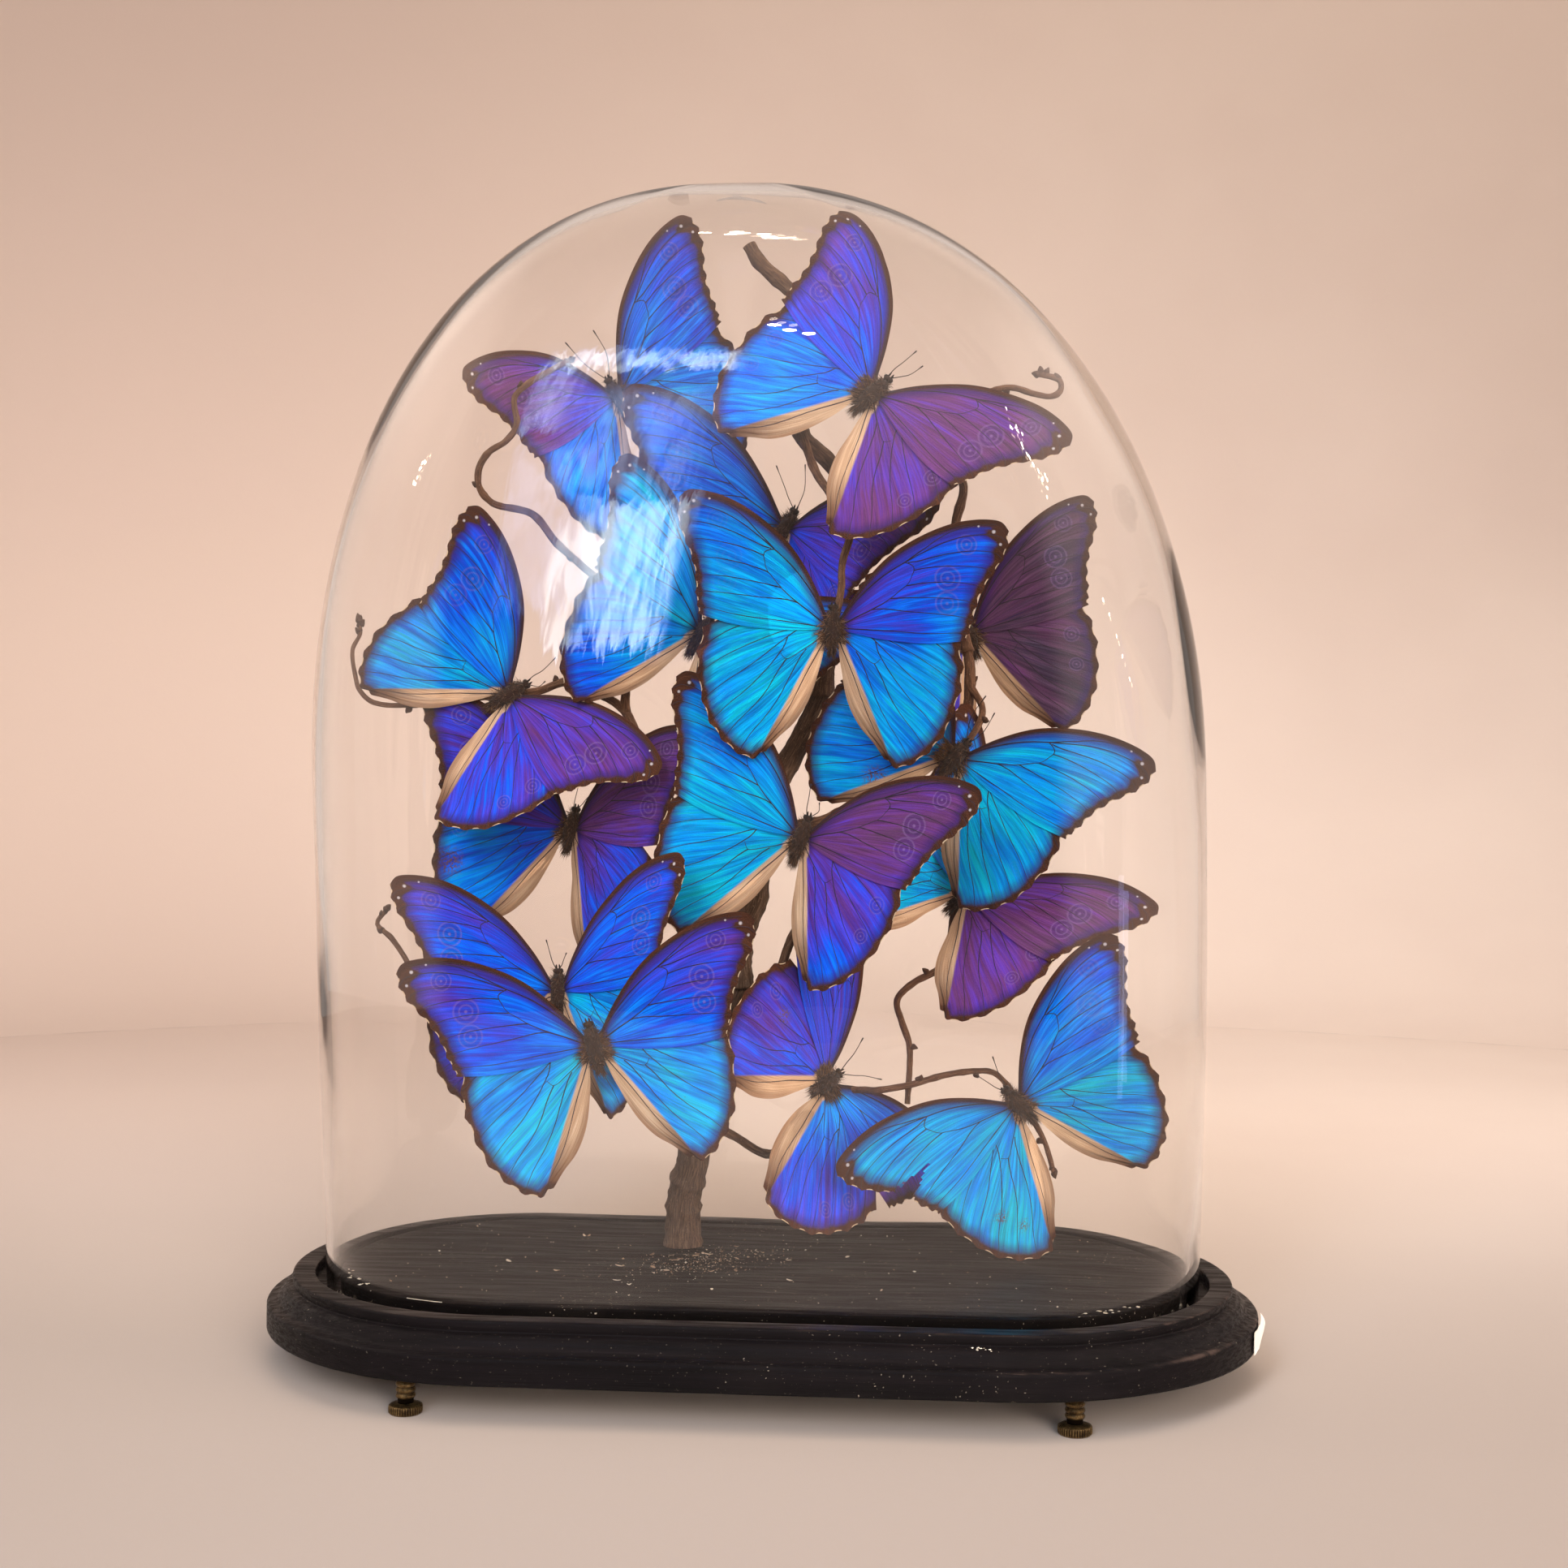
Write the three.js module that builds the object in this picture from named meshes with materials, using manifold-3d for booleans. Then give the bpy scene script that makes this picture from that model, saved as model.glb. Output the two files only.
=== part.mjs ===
// Oval glass dome on a moulded wooden base: a contorted branch inside it carries fifteen mounted butterflies.
// Millimetres, +Z up. The feet stand on z = 0, the long side lies along X and the display faces -Y.
import * as THREE from "three";
import { mergeVertices } from "three/addons/utils/BufferGeometryUtils.js";
import Module from "manifold-3d";

const wasm = await Module();
wasm.setup();

// Driving dimensions
const baseReach = 206; // half length of the base, at its widest
const baseDepth = 108; // half depth of the base, and the radius of its round ends
const baseUnderside = 14.7; // underside of the base above the shelf
const rimTop = 36.6; // flat rim that runs round outside the glass
const recessFloor = 30; // floor that the glass and the board stand on
const recessInset = 19.6; // recess wall, in from the widest outline
const boardInset = 29.5; // edge of the raised board
const boardTop = 37.5;
const glassInset = 24; // outside of the glass at its foot
const glassThick = 3;
const glassSpring = 243; // height at which the sides start to curve over
const glassTop = 491;
const glassSwell = { reach: 4.8, depth: 1.5 }; // how much wider the glass is at the spring than at its foot
const glassArch = 2.15; // exponent of the arch, 2 would be an ellipse
const glassLean = 13; // the blown crown leans this far to -X
const gap = 0.3; // clearance between pieces that touch
const arcSteps = 10; // segments on each round end

const footPlace = { x: 126, y: 93.7 };
const footDisc = { radius: 6.5, thick: 4 };

const wingThick = 0.5;
const hinge = { x: 2.5, y: 2 }; // where a wing turns in its own plane

const colours = {
  wood: { color: 0x17130f, roughness: 0.42, metalness: 0 },
  glass: { color: 0xefe3cc, roughness: 0.04, metalness: 0, transparent: true, opacity: 0.25 },
  brass: { color: 0x6d5c3c, roughness: 0.4, metalness: 1 },
  paper: { color: 0xe6e2d8, roughness: 0.9, metalness: 0 },
  bark: { color: 0x5b4432, roughness: 0.85, metalness: 0 },
  wing: { color: 0x1c6fe0, roughness: 0.35, metalness: 0.3 },
};

const materials = {};
for (const [name, look] of Object.entries(colours)) {
  materials[name] = new THREE.MeshStandardMaterial(look);
}

const display = new THREE.Group();

function addPiece(name, geometry, material) {
  const mesh = new THREE.Mesh(geometry, materials[material]);
  mesh.name = name;
  display.add(mesh);
  return mesh;
}

// A closed skin over rings of equal length, with a point in the middle of the first and the last ring.
function skin(rings, firstPoint, lastPoint) {
  const count = rings[0].length;
  const points = [firstPoint, ...rings.flat(), lastPoint];
  const index = [];
  const at = (ring, i) => 1 + ring * count + (i % count);
  const last = points.length - 1;
  for (let i = 0; i < count; i++) {
    index.push(0, at(0, i + 1), at(0, i));
    index.push(last, at(rings.length - 1, i), at(rings.length - 1, i + 1));
    for (let ring = 0; ring < rings.length - 1; ring++) {
      index.push(at(ring, i), at(ring, i + 1), at(ring + 1, i));
      index.push(at(ring, i + 1), at(ring + 1, i + 1), at(ring + 1, i));
    }
  }
  const geometry = new THREE.BufferGeometry().setFromPoints(points);
  geometry.setIndex(index);
  geometry.computeVertexNormals();
  return geometry;
}

// A long oval: two half circles of radius depth, joined by straight sides, reach from the middle to each end.
function ovalRing({ reach, depth, z, shift = 0 }) {
  const radius = Math.min(reach, depth);
  const ring = [];
  for (const end of [0, Math.PI]) {
    const middle = (reach - radius) * Math.cos(end) + shift;
    for (let i = 0; i <= arcSteps; i++) {
      const angle = end - Math.PI / 2 + (Math.PI * i) / arcSteps;
      ring.push(new THREE.Vector3(middle + radius * Math.cos(angle), radius * Math.sin(angle), z));
    }
  }
  return ring;
}

// A solid whose outline is the base's oval, drawn in by the inset at each height of the profile.
function ovalSolid(profile) {
  const rings = profile.map(([inset, z]) =>
    ovalRing({ reach: baseReach - inset, depth: baseDepth - inset, z }),
  );
  const low = new THREE.Vector3(0, 0, profile[0][1]);
  const high = new THREE.Vector3(0, 0, profile.at(-1)[1]);
  return skin(rings, low, high);
}

// Base: plain fascia, worn lip, ogee, cove, flat rim, then down into the recess. Each pair is inset, height.
const baseProfile = [
  [4, baseUnderside],
  [0.8, baseUnderside],
  [0, baseUnderside + 1],
  [0, 24.6],
  [0.7, 25.5],
  [3.4, 26.1],
  [5.8, 27.6],
  [7, 30],
  [8.6, 31.6],
  [10.8, 32.3],
  [10.4, 33.4],
  [10.4, rimTop - 0.7],
  [11.1, rimTop],
  [recessInset - 0.6, rimTop],
  [recessInset, rimTop - 0.6],
  [recessInset, recessFloor],
];
addPiece("plinth", ovalSolid(baseProfile), "wood");

const boardProfile = [
  [boardInset, recessFloor + gap],
  [boardInset, boardTop - 0.8],
  [boardInset + 0.8, boardTop],
];
addPiece("platform", ovalSolid(boardProfile), "wood");

// Dome: the wall swells to the spring and then arches over to the crown.
function glassRing(z, thick) {
  const foot = { reach: baseReach - glassInset, depth: baseDepth - glassInset };
  const floor = recessFloor + gap;
  const swell = Math.sin((Math.PI / 2) * Math.min(1, (z - floor) / (glassSpring - floor)));
  const rise = Math.max(0, (z - glassSpring) / (glassTop - thick - glassSpring));
  const arch = (1 - rise ** glassArch) ** (1 / glassArch);
  return ovalRing({
    reach: (foot.reach + glassSwell.reach * swell - thick) * arch,
    depth: (foot.depth + glassSwell.depth * swell - thick) * arch,
    z,
    shift: -glassLean * ((z - floor) / (glassTop - floor)) ** 2,
  });
}

function glassWall(thick) {
  const rings = [];
  for (const z of [recessFloor + gap, 130]) {
    rings.push(glassRing(z, thick));
  }
  const crownSteps = 7;
  for (let i = 0; i < crownSteps; i++) {
    const rise = Math.sin(((Math.PI / 2) * i) / crownSteps);
    rings.push(glassRing(glassSpring + rise * (glassTop - thick - glassSpring), thick));
  }
  return rings;
}

const outerWall = glassWall(0);
const innerWall = glassWall(glassThick);
const crown = new THREE.Vector3(-glassLean, 0, glassTop);
const innerCrown = new THREE.Vector3(-glassLean, 0, glassTop - glassThick);
addPiece("dome", skin([...innerWall.reverse(), ...outerWall], innerCrown, crown), "glass");

// Feet: a knurled disc on the shelf and a beaded collar between it and the base.
const neckRadius = 3;
const beadRadius = 3.9;
const beadPitch = 2.2;

function collarProfile() {
  const bottom = footDisc.thick + gap;
  const top = baseUnderside - gap;
  const points = [new THREE.Vector2(0, bottom), new THREE.Vector2(neckRadius, bottom)];
  let z = bottom + 1.6;
  while (z + beadPitch < top) {
    points.push(new THREE.Vector2(neckRadius + 0.4, z));
    points.push(new THREE.Vector2(beadRadius, z + beadPitch / 2));
    z += beadPitch;
  }
  points.push(new THREE.Vector2(neckRadius + 0.4, z));
  points.push(new THREE.Vector2(neckRadius + 0.4, top), new THREE.Vector2(0, top));
  return points;
}

const discProfile = [
  new THREE.Vector2(0, 0),
  new THREE.Vector2(footDisc.radius - 0.5, 0),
  new THREE.Vector2(footDisc.radius, 0.5),
  new THREE.Vector2(footDisc.radius, footDisc.thick - 0.7),
  new THREE.Vector2(footDisc.radius - 1, footDisc.thick),
  new THREE.Vector2(0, footDisc.thick),
];

// A lathe turns about Y, so it is stood up along Z.
function turned(profile, sides) {
  return new THREE.LatheGeometry(profile, sides).rotateX(Math.PI / 2);
}

const feet = [
  ["front_left", -1, -1],
  ["front_right", 1, -1],
  ["back_left", -1, 1],
  ["back_right", 1, 1],
];
for (const [place, alongX, alongY] of feet) {
  const disc = addPiece("foot_disc_" + place, turned(discProfile, 10), "brass");
  const collar = addPiece("foot_collar_" + place, turned(collarProfile(), 8), "brass");
  for (const piece of [disc, collar]) {
    piece.position.set(alongX * footPlace.x, alongY * footPlace.y, 0);
  }
}

// Label: a blank strip of paper stuck round the right end of the fascia, its far edge curling away.
const label = { from: -20.7, to: -3, low: 15.2, high: 24.6, thick: 0.4, curl: 2.6, steps: 6 };

function labelOutline() {
  const endMiddle = baseReach - baseDepth;
  const edge = (extra) => {
    const points = [];
    for (let i = 0; i <= label.steps; i++) {
      const part = i / label.steps;
      const angle = THREE.MathUtils.degToRad(label.from + (label.to - label.from) * part);
      const radius = baseDepth + gap + extra + label.curl * part ** 3;
      points.push(new THREE.Vector2(endMiddle + radius * Math.cos(angle), radius * Math.sin(angle)));
    }
    return points;
  };
  return new THREE.Shape([...edge(label.thick), ...edge(0).reverse()]);
}

const labelHeight = label.high - label.low;
const labelGeometry = new THREE.ExtrudeGeometry(labelOutline(), { depth: labelHeight, bevelEnabled: false });
addPiece("label", labelGeometry, "paper").position.z = label.low;

// Booleans go through closed solids and come back as geometry.
function solid(geometry) {
  const bare = geometry.clone();
  bare.deleteAttribute("normal");
  bare.deleteAttribute("uv");
  const merged = mergeVertices(bare, 1e-3);
  const vertProperties = merged.getAttribute("position").array;
  const triVerts = new Uint32Array(merged.index.array);
  return new wasm.Manifold(new wasm.Mesh({ numProp: 3, vertProperties, triVerts }));
}

function geometryOf(manifold) {
  const { vertProperties, triVerts } = manifold.getMesh();
  const geometry = new THREE.BufferGeometry();
  geometry.setAttribute("position", new THREE.BufferAttribute(vertProperties, 3));
  geometry.setIndex(new THREE.BufferAttribute(triVerts, 1));
  geometry.computeVertexNormals();
  return geometry;
}

// Branch: each run is one tapering piece from fork to fork, from and to are its radii, and onto names the
// pieces that it grows out of. Points are x, y, z.
const branch = {
  trunk: {
    from: 7.2, to: 5.8, onto: [],
    points: [
      [-36, 33, 37.8], [-36, 33, 42], [-35, 29, 60], [-30, 22, 80], [-30, 18, 96], [-27, 14, 112], [-20, 12, 133],
      [-12, 12, 153],
    ],
  },
  stem_low: {
    from: 5.6, to: 4.2, onto: ["trunk"],
    points: [
      [-12, 12, 153], [-11, 12, 173], [-4, 12, 192], [-3, 12, 212], [1, 12, 231], [10, 14, 249],
      [17, 12, 262], [24, 12, 276],
    ],
  },
  stem_high: {
    from: 4, to: 2.9, onto: ["stem_low"],
    points: [
      [24, 12, 276], [28, 16, 312], [32, 20, 330], [35, 23, 348], [34, 21, 366], [26, 10, 377],
      [16, 1, 386], [14, -1, 402], [17, 2, 420], [19, 4, 438], [8, 4, 449], [-3, 4, 459], [-8, 4, 467],
    ],
  },
  limb_right: {
    from: 2.6, to: 2.2, onto: ["stem_low"],
    points: [
      [-3, 12, 212], [11, 12, 221], [27, 12, 225], [41, 12, 233], [53, 12, 245], [67, 12, 254],
      [82, 14, 261], [87, 12, 281], [86, 12, 296],
    ],
  },
  limb_upper_right: {
    from: 2.1, to: 1.7, onto: ["limb_right"],
    points: [
      [86, 12, 296], [82, 15, 314], [80, 20, 331], [80, 18, 350], [83, 14, 367], [72, 3, 379],
      [59, -7, 391], [45, -19, 396],
    ],
  },
  limb_left: {
    from: 2.4, to: 1.6, onto: ["stem_low"],
    points: [
      [-4, 12, 192], [-18, 12, 206], [-32, 12, 220], [-43, 12, 236], [-52, 12, 253], [-61, 14, 270],
      [-72, 12, 278], [-85, 12, 283], [-99, 15, 279], [-111, 10, 276],
    ],
  },
  limb_low_right: {
    from: 2.3, to: 1.5, onto: ["trunk"],
    points: [
      [-20, 12, 133], [-6, 12, 143], [5, 12, 156], [11, 14, 172], [18, 12, 184], [30, 12, 191],
      [44, 12, 192], [57, 16, 192], [69, 24, 192], [82, 30, 191],
    ],
  },
  limb_low_left: {
    from: 2.2, to: 1.6, onto: ["trunk"],
    points: [[-27, 14, 112], [-40, 12, 120], [-53, 10, 125], [-64, 4, 133], [-74, -3, 141], [-83, -10, 149]],
  },
  twig_crown: {
    from: 1.5, to: 1.1, onto: ["limb_upper_right"],
    points: [
      [45, -19, 396], [59, -17, 396], [73, -16, 396], [88, -15, 399], [101, -18, 402], [112, -24, 398],
      [118, -24, 397], [122, -24, 399], [122, -24, 403], [118, -24, 405], [113, -24, 406],
    ],
  },
  twig_left: {
    from: 1.3, to: 0.9, onto: ["limb_left"],
    points: [
      [-111, 10, 276], [-125, 15, 276], [-139, 12, 274], [-151, 2, 272], [-166, -2, 273], [-172, -3, 278],
      [-175, -1, 285], [-177, 1, 296], [-174, 3, 303], [-175, 3, 309],
    ],
  },
  twig_upper_left: {
    from: 1.9, to: 1.2, onto: ["limb_left"],
    points: [
      [-61, 14, 270], [-61, 13, 285], [-66, 15, 298], [-73, 22, 325], [-82, 20, 334], [-92, 18, 343],
      [-102, 16, 355], [-118, 9, 359], [-123, 4, 365], [-122, -2, 372], [-116, -9, 378], [-107, -14, 382],
      [-102, -17, 388], [-103, -18, 399], [-98, -16, 405], [-89, -10, 412], [-82, -2, 418],
    ],
  },
  twig_bottom: {
    from: 2, to: 1.5, onto: ["trunk"],
    points: [[-30, 18, 96], [-13, 15, 89], [3, 16, 81], [13, 15, 89], [21, 11, 99], [23, 8, 112]],
  },
  twig_shelf: {
    from: 1.5, to: 1.1, onto: ["twig_bottom"],
    points: [
      [13, 15, 89], [21, 20, 101], [31, 23, 110], [42, 17, 114], [46, 4, 111], [62, 2, 114], [75, 2, 118],
      [87, 4, 120], [98, 8, 119], [108, 10, 108], [119, 16, 91], [124, 16, 76],
    ],
  },
  twig_hook: {
    from: 1.7, to: 1.2, onto: ["limb_low_right"],
    points: [
      [82, 30, 191], [80, 28, 177], [79, 18, 166], [73, 7, 161], [64, 8, 156], [57, 10, 148], [59, 10, 139],
      [62, 10, 130], [62, 11, 119], [61, 10, 105],
    ],
  },
  twig_low_left: {
    from: 1.6, to: 1, onto: ["limb_low_left"],
    points: [
      [-83, -10, 149], [-96, -8, 148], [-109, -8, 148], [-123, -8, 148], [-136, -5, 151], [-147, 0, 156],
      [-154, 2, 166], [-159, 2, 173], [-165, 2, 179], [-161, 2, 185],
    ],
  },
  twig_02: {
    from: 1.6, to: 1.4, onto: ["stem_high"],
    points: [
      [16, 2, 418], [3, 10, 414], [-7, 19, 409], [-16, 27, 401], [-27, 34, 394], [-41, 37, 391],
      [-53, 44, 390], [-64, 47, 399], [-70, 38, 409],
    ],
  },
  twig_03: {
    from: 1.6, to: 1.3, onto: ["stem_high"],
    points: [[32, 20, 330], [25, 27, 338], [18, 36, 345], [7, 40, 350]],
  },
  twig_04: {
    from: 1.6, to: 1.4, onto: ["stem_low", "stem_high"],
    points: [[23, 12, 274], [8, 12, 276], [-6, 12, 280], [-18, 13, 290], [-27, 10, 302]],
  },
  twig_06: {
    from: 1.8, to: 1.4, onto: ["stem_high"],
    points: [
      [16, 1, 386], [22, -7, 370], [30, -14, 357], [37, -22, 343], [34, -23, 330], [34, -28, 319],
      [31, -30, 303],
    ],
  },
  twig_07: {
    from: 1.6, to: 1.3, onto: ["limb_right", "limb_upper_right"],
    points: [[86, 12, 295], [84, 24, 304], [84, 34, 314], [84, 46, 322], [84, 58, 319], [86, 60, 306]],
  },
  twig_08: {
    from: 1.5, to: 1.3, onto: ["limb_right"],
    points: [[87, 12, 281], [92, 4, 272], [89, -5, 262], [81, -11, 252]],
  },
  twig_09: {
    from: 1.8, to: 1.4, onto: ["stem_low", "limb_right"],
    points: [[-3, 12, 210], [9, 2, 214], [17, -10, 216]],
  },
  twig_10: {
    from: 1.5, to: 1.3, onto: ["limb_left"],
    points: [[-43, 12, 236], [-58, 17, 231], [-71, 25, 223], [-86, 30, 219]],
  },
  twig_12: {
    from: 1.6, to: 1.3, onto: ["limb_low_left"],
    points: [[-53, 10, 125], [-62, -2, 124], [-73, -13, 124], [-80, -26, 128], [-73, -39, 132], [-61, -49, 134]],
  },
};
const barkSides = 5;
const barkStep = 16; // length of one facet along a limb

// A tapering tube along a smooth curve; grow adds the same clearance all round and at the far end.
function limb({ points, from, to }, grow = 0) {
  const places = points.map((p) => new THREE.Vector3(...p));
  const curve = new THREE.CatmullRomCurve3(places, false, "centripetal");
  const steps = Math.max(2, Math.round(curve.getLength() / barkStep));
  const frames = curve.computeFrenetFrames(steps, false);
  const tip = curve.getPointAt(1).addScaledVector(curve.getTangentAt(1), grow);
  const rings = [];
  for (let i = 0; i <= steps; i++) {
    const middle = i < steps ? curve.getPointAt(i / steps) : tip;
    const radius = from + ((to - from) * i) / steps + grow;
    const ring = [];
    for (let k = 0; k < barkSides; k++) {
      const angle = (2 * Math.PI * k) / barkSides;
      const spoke = frames.normals[i].clone().multiplyScalar(Math.cos(angle) * radius);
      spoke.addScaledVector(frames.binormals[i], Math.sin(angle) * radius);
      ring.push(middle.clone().add(spoke));
    }
    rings.push(ring);
  }
  return skin(rings, curve.getPointAt(0), tip);
}

for (const [name, run] of Object.entries(branch)) {
  let piece = solid(limb(run));
  for (const carrier of run.onto) {
    piece = piece.subtract(solid(limb(branch[carrier], gap)));
  }
  const parts = piece.decompose().sort((a, b) => b.volume() - a.volume());
  addPiece(name, geometryOf(parts[0]), "bark");
}

// Butterflies: outlines of the right wings at mean size, x out to the tip and y towards the head.
const foreWing = [
  [0, 4], [12, 19], [24, 32], [38, 41], [54, 47], [69, 47.4], [72.8, 43],
  [71, 32], [62, 14], [56, -1], [0, 0],
];
const hindWing = [
  [0, 2], [20, 7], [52, -3], [55, -16], [52, -31], [44, -46], [31, -55.5],
  [12, -38.5], [0, -5],
];

// One wing as a thin flat plate, swept in its own plane about the hinge. The left wing mirrors the right one.
function wingPlate(outline, hand, sweep) {
  const shape = new THREE.Shape(outline.map(([x, y]) => new THREE.Vector2(hand * x, y)));
  const plate = new THREE.ExtrudeGeometry(shape, { depth: wingThick, bevelEnabled: false });
  plate.translate(-hand * hinge.x, -hinge.y, -wingThick / 2);
  plate.rotateZ(hand * THREE.MathUtils.degToRad(sweep));
  plate.translate(hand * hinge.x, hinge.y, 0);
  return solid(plate);
}

// Both wings of one side, joined while they still lie in one plane, then raised off the body's plane.
function wingPair(hand, size, { fore, hind, raise }) {
  const flat = geometryOf(wingPlate(foreWing, hand, fore).add(wingPlate(hindWing, hand, hind)));
  flat.scale(size, size, 1);
  flat.rotateY(-hand * THREE.MathUtils.degToRad(raise));
  return solid(flat);
}

function butterfly({ size, left, right }) {
  const thorax = new THREE.SphereGeometry(1, 6, 4).scale(3.3, 9, 3.3);
  const head = new THREE.SphereGeometry(2.3, 4, 2).translate(0, 9.4, 0);
  const body = solid(thorax).add(solid(head));
  return geometryOf(body.add(wingPair(-1, size, left)).add(wingPair(1, size, right)));
}

// at is the middle of the thorax. Heading, pitch and turn aim the body from upright and facing -Y, in degrees.
// On each side fore and hind sweep the wings in their plane, and raise lifts them off the body's plane.
const specimens = [
  {
    at: [45, -25, 397], heading: -45, pitch: -9, turn: -3, size: 1.01,
    left: { fore: 6, hind: 4, raise: -6 }, right: { fore: -7, hind: 3, raise: 18 },
  },
  {
    at: [-67, 34, 408], heading: 29, pitch: 30, turn: 20, size: 0.99,
    left: { fore: 8, hind: 5, raise: 20 }, right: { fore: 8, hind: 4, raise: 14 },
  },
  {
    at: [6, 35, 350], heading: -27, pitch: 5, turn: -6, size: 1.09,
    left: { fore: -18, hind: 0, raise: 24 }, right: { fore: -8, hind: 0, raise: 40 },
  },
  {
    at: [-27, 5, 302], heading: -32, pitch: -1, turn: 1, size: 0.98,
    left: { fore: 1, hind: 3, raise: 23 }, right: { fore: 0, hind: 0, raise: 22 },
  },
  {
    at: [-111, 5, 276], heading: -58, pitch: -4, turn: -2, size: 0.97,
    left: { fore: -10, hind: 8, raise: 21 }, right: { fore: -2, hind: 5, raise: 23 },
  },
  {
    at: [31, -35, 301], heading: -3, pitch: 20, turn: 1, size: 0.99,
    left: { fore: 11, hind: 2, raise: 16 }, right: { fore: 4, hind: 0, raise: 14 },
  },
  {
    at: [87, 55, 305], heading: 22, pitch: 16, turn: 8, size: 0.97,
    left: { fore: 0, hind: 0, raise: 8 }, right: { fore: -4, hind: -4, raise: 15 },
  },
  {
    at: [80, -15, 250], heading: -38, pitch: 27, turn: 3, size: 1.01,
    left: { fore: 0, hind: 5, raise: 3 }, right: { fore: 10, hind: 12, raise: 14 },
  },
  {
    at: [17, -15, 216], heading: -19, pitch: 0, turn: -6, size: 1,
    left: { fore: 3, hind: 6, raise: 19 }, right: { fore: -2, hind: -1, raise: 24 },
  },
  {
    at: [-86, 25, 218], heading: -15, pitch: 8, turn: -1, size: 1.03,
    left: { fore: 0, hind: 4, raise: 14 }, right: { fore: 14, hind: 4, raise: 38 },
  },
  {
    at: [-83, -15, 151], heading: 4, pitch: -17, turn: 1, size: 1,
    left: { fore: -3, hind: 14, raise: 37 }, right: { fore: 0, hind: 0, raise: 36 },
  },
  {
    at: [-61, -54, 134], heading: 14, pitch: -1, turn: 1, size: 0.98,
    left: { fore: 4, hind: 5, raise: 12 }, right: { fore: -6, hind: 4, raise: 8 },
  },
  {
    at: [27, 5, 113], heading: -58, pitch: -54, turn: 14, size: 1.06,
    left: { fore: 7, hind: 0, raise: 6 }, right: { fore: 3, hind: -7, raise: 6 },
  },
  {
    at: [109, 5, 106], heading: 43, pitch: 18, turn: 2, size: 1.03,
    left: { fore: -1, hind: 4, raise: 18 }, right: { fore: -7, hind: -8, raise: 16 },
  },
  {
    at: [84, 25, 192], heading: -41, pitch: -24, turn: 7, size: 1.01,
    left: { fore: 0, hind: 8, raise: 36 }, right: { fore: -9, hind: 4, raise: 44 },
  },
];

const upright = new THREE.Quaternion().setFromAxisAngle(new THREE.Vector3(1, 0, 0), Math.PI / 2);
specimens.forEach((specimen, i) => {
  const { degToRad } = THREE.MathUtils;
  const name = "butterfly_" + String(i + 1).padStart(2, "0");
  const mesh = addPiece(name, butterfly(specimen), "wing");
  const angles = [specimen.pitch, specimen.turn, specimen.heading].map(degToRad);
  const pose = new THREE.Quaternion().setFromEuler(new THREE.Euler(...angles, "ZXY"));
  mesh.quaternion.copy(upright).multiply(pose);
  mesh.position.set(...specimen.at);
});

// The label stands a little outside the base's right end, so the whole is centred on the origin here.
const box = new THREE.Box3().setFromObject(display, true);
display.position.x = -(box.min.x + box.max.x) / 2;

const whole = new THREE.Group();
whole.add(display);
export default whole;
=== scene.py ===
from math import atan2, copysign, cos, pi, radians, sin, sqrt

import bpy
import numpy as np
from mathutils import Matrix, Vector


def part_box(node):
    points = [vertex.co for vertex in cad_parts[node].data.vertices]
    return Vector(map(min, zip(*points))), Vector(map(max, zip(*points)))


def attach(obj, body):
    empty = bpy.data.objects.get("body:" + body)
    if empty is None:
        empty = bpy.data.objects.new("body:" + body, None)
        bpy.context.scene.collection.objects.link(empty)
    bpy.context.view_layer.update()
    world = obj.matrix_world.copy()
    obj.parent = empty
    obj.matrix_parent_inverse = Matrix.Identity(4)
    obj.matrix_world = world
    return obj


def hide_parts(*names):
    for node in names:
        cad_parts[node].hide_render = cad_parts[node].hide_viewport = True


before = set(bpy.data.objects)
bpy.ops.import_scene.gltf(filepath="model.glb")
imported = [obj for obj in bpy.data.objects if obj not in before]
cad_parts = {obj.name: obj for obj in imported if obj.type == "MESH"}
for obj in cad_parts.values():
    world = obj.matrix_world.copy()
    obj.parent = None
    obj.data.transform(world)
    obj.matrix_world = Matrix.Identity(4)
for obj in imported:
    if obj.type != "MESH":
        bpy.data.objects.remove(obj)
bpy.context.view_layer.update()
plinthLow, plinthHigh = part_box("plinth")
centreX = (plinthLow.x + plinthHigh.x) / 2  # lengths below are in mm from the base's middle
print("frame loaded, middle of the base at x =", round(centreX * 1000, 2), "mm")


# Small tools for meshes

def newBundle():
    return {"points": [], "faces": [], "slots": [], "marks": {}, "size": 0}


def addPart(bundle, points, faces, slot=0, **marks):
    points = np.asarray(points, float).reshape(-1, 3)
    start = bundle["size"]
    for block in faces if isinstance(faces, list) else [faces]:
        bundle["faces"].append(np.asarray(block, int) + start)
        bundle["slots"].append(np.full(len(block), slot))
    for name, values in marks.items():
        values = np.asarray(values, float)
        bundle["marks"].setdefault(name, []).append((start, values if values.ndim else np.full(len(points), values)))
    bundle["points"].append(points)
    bundle["size"] += len(points)


def hang(name, data):
    made = bpy.data.objects.new(name, data)
    bpy.context.scene.collection.objects.link(made)
    return made


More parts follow.
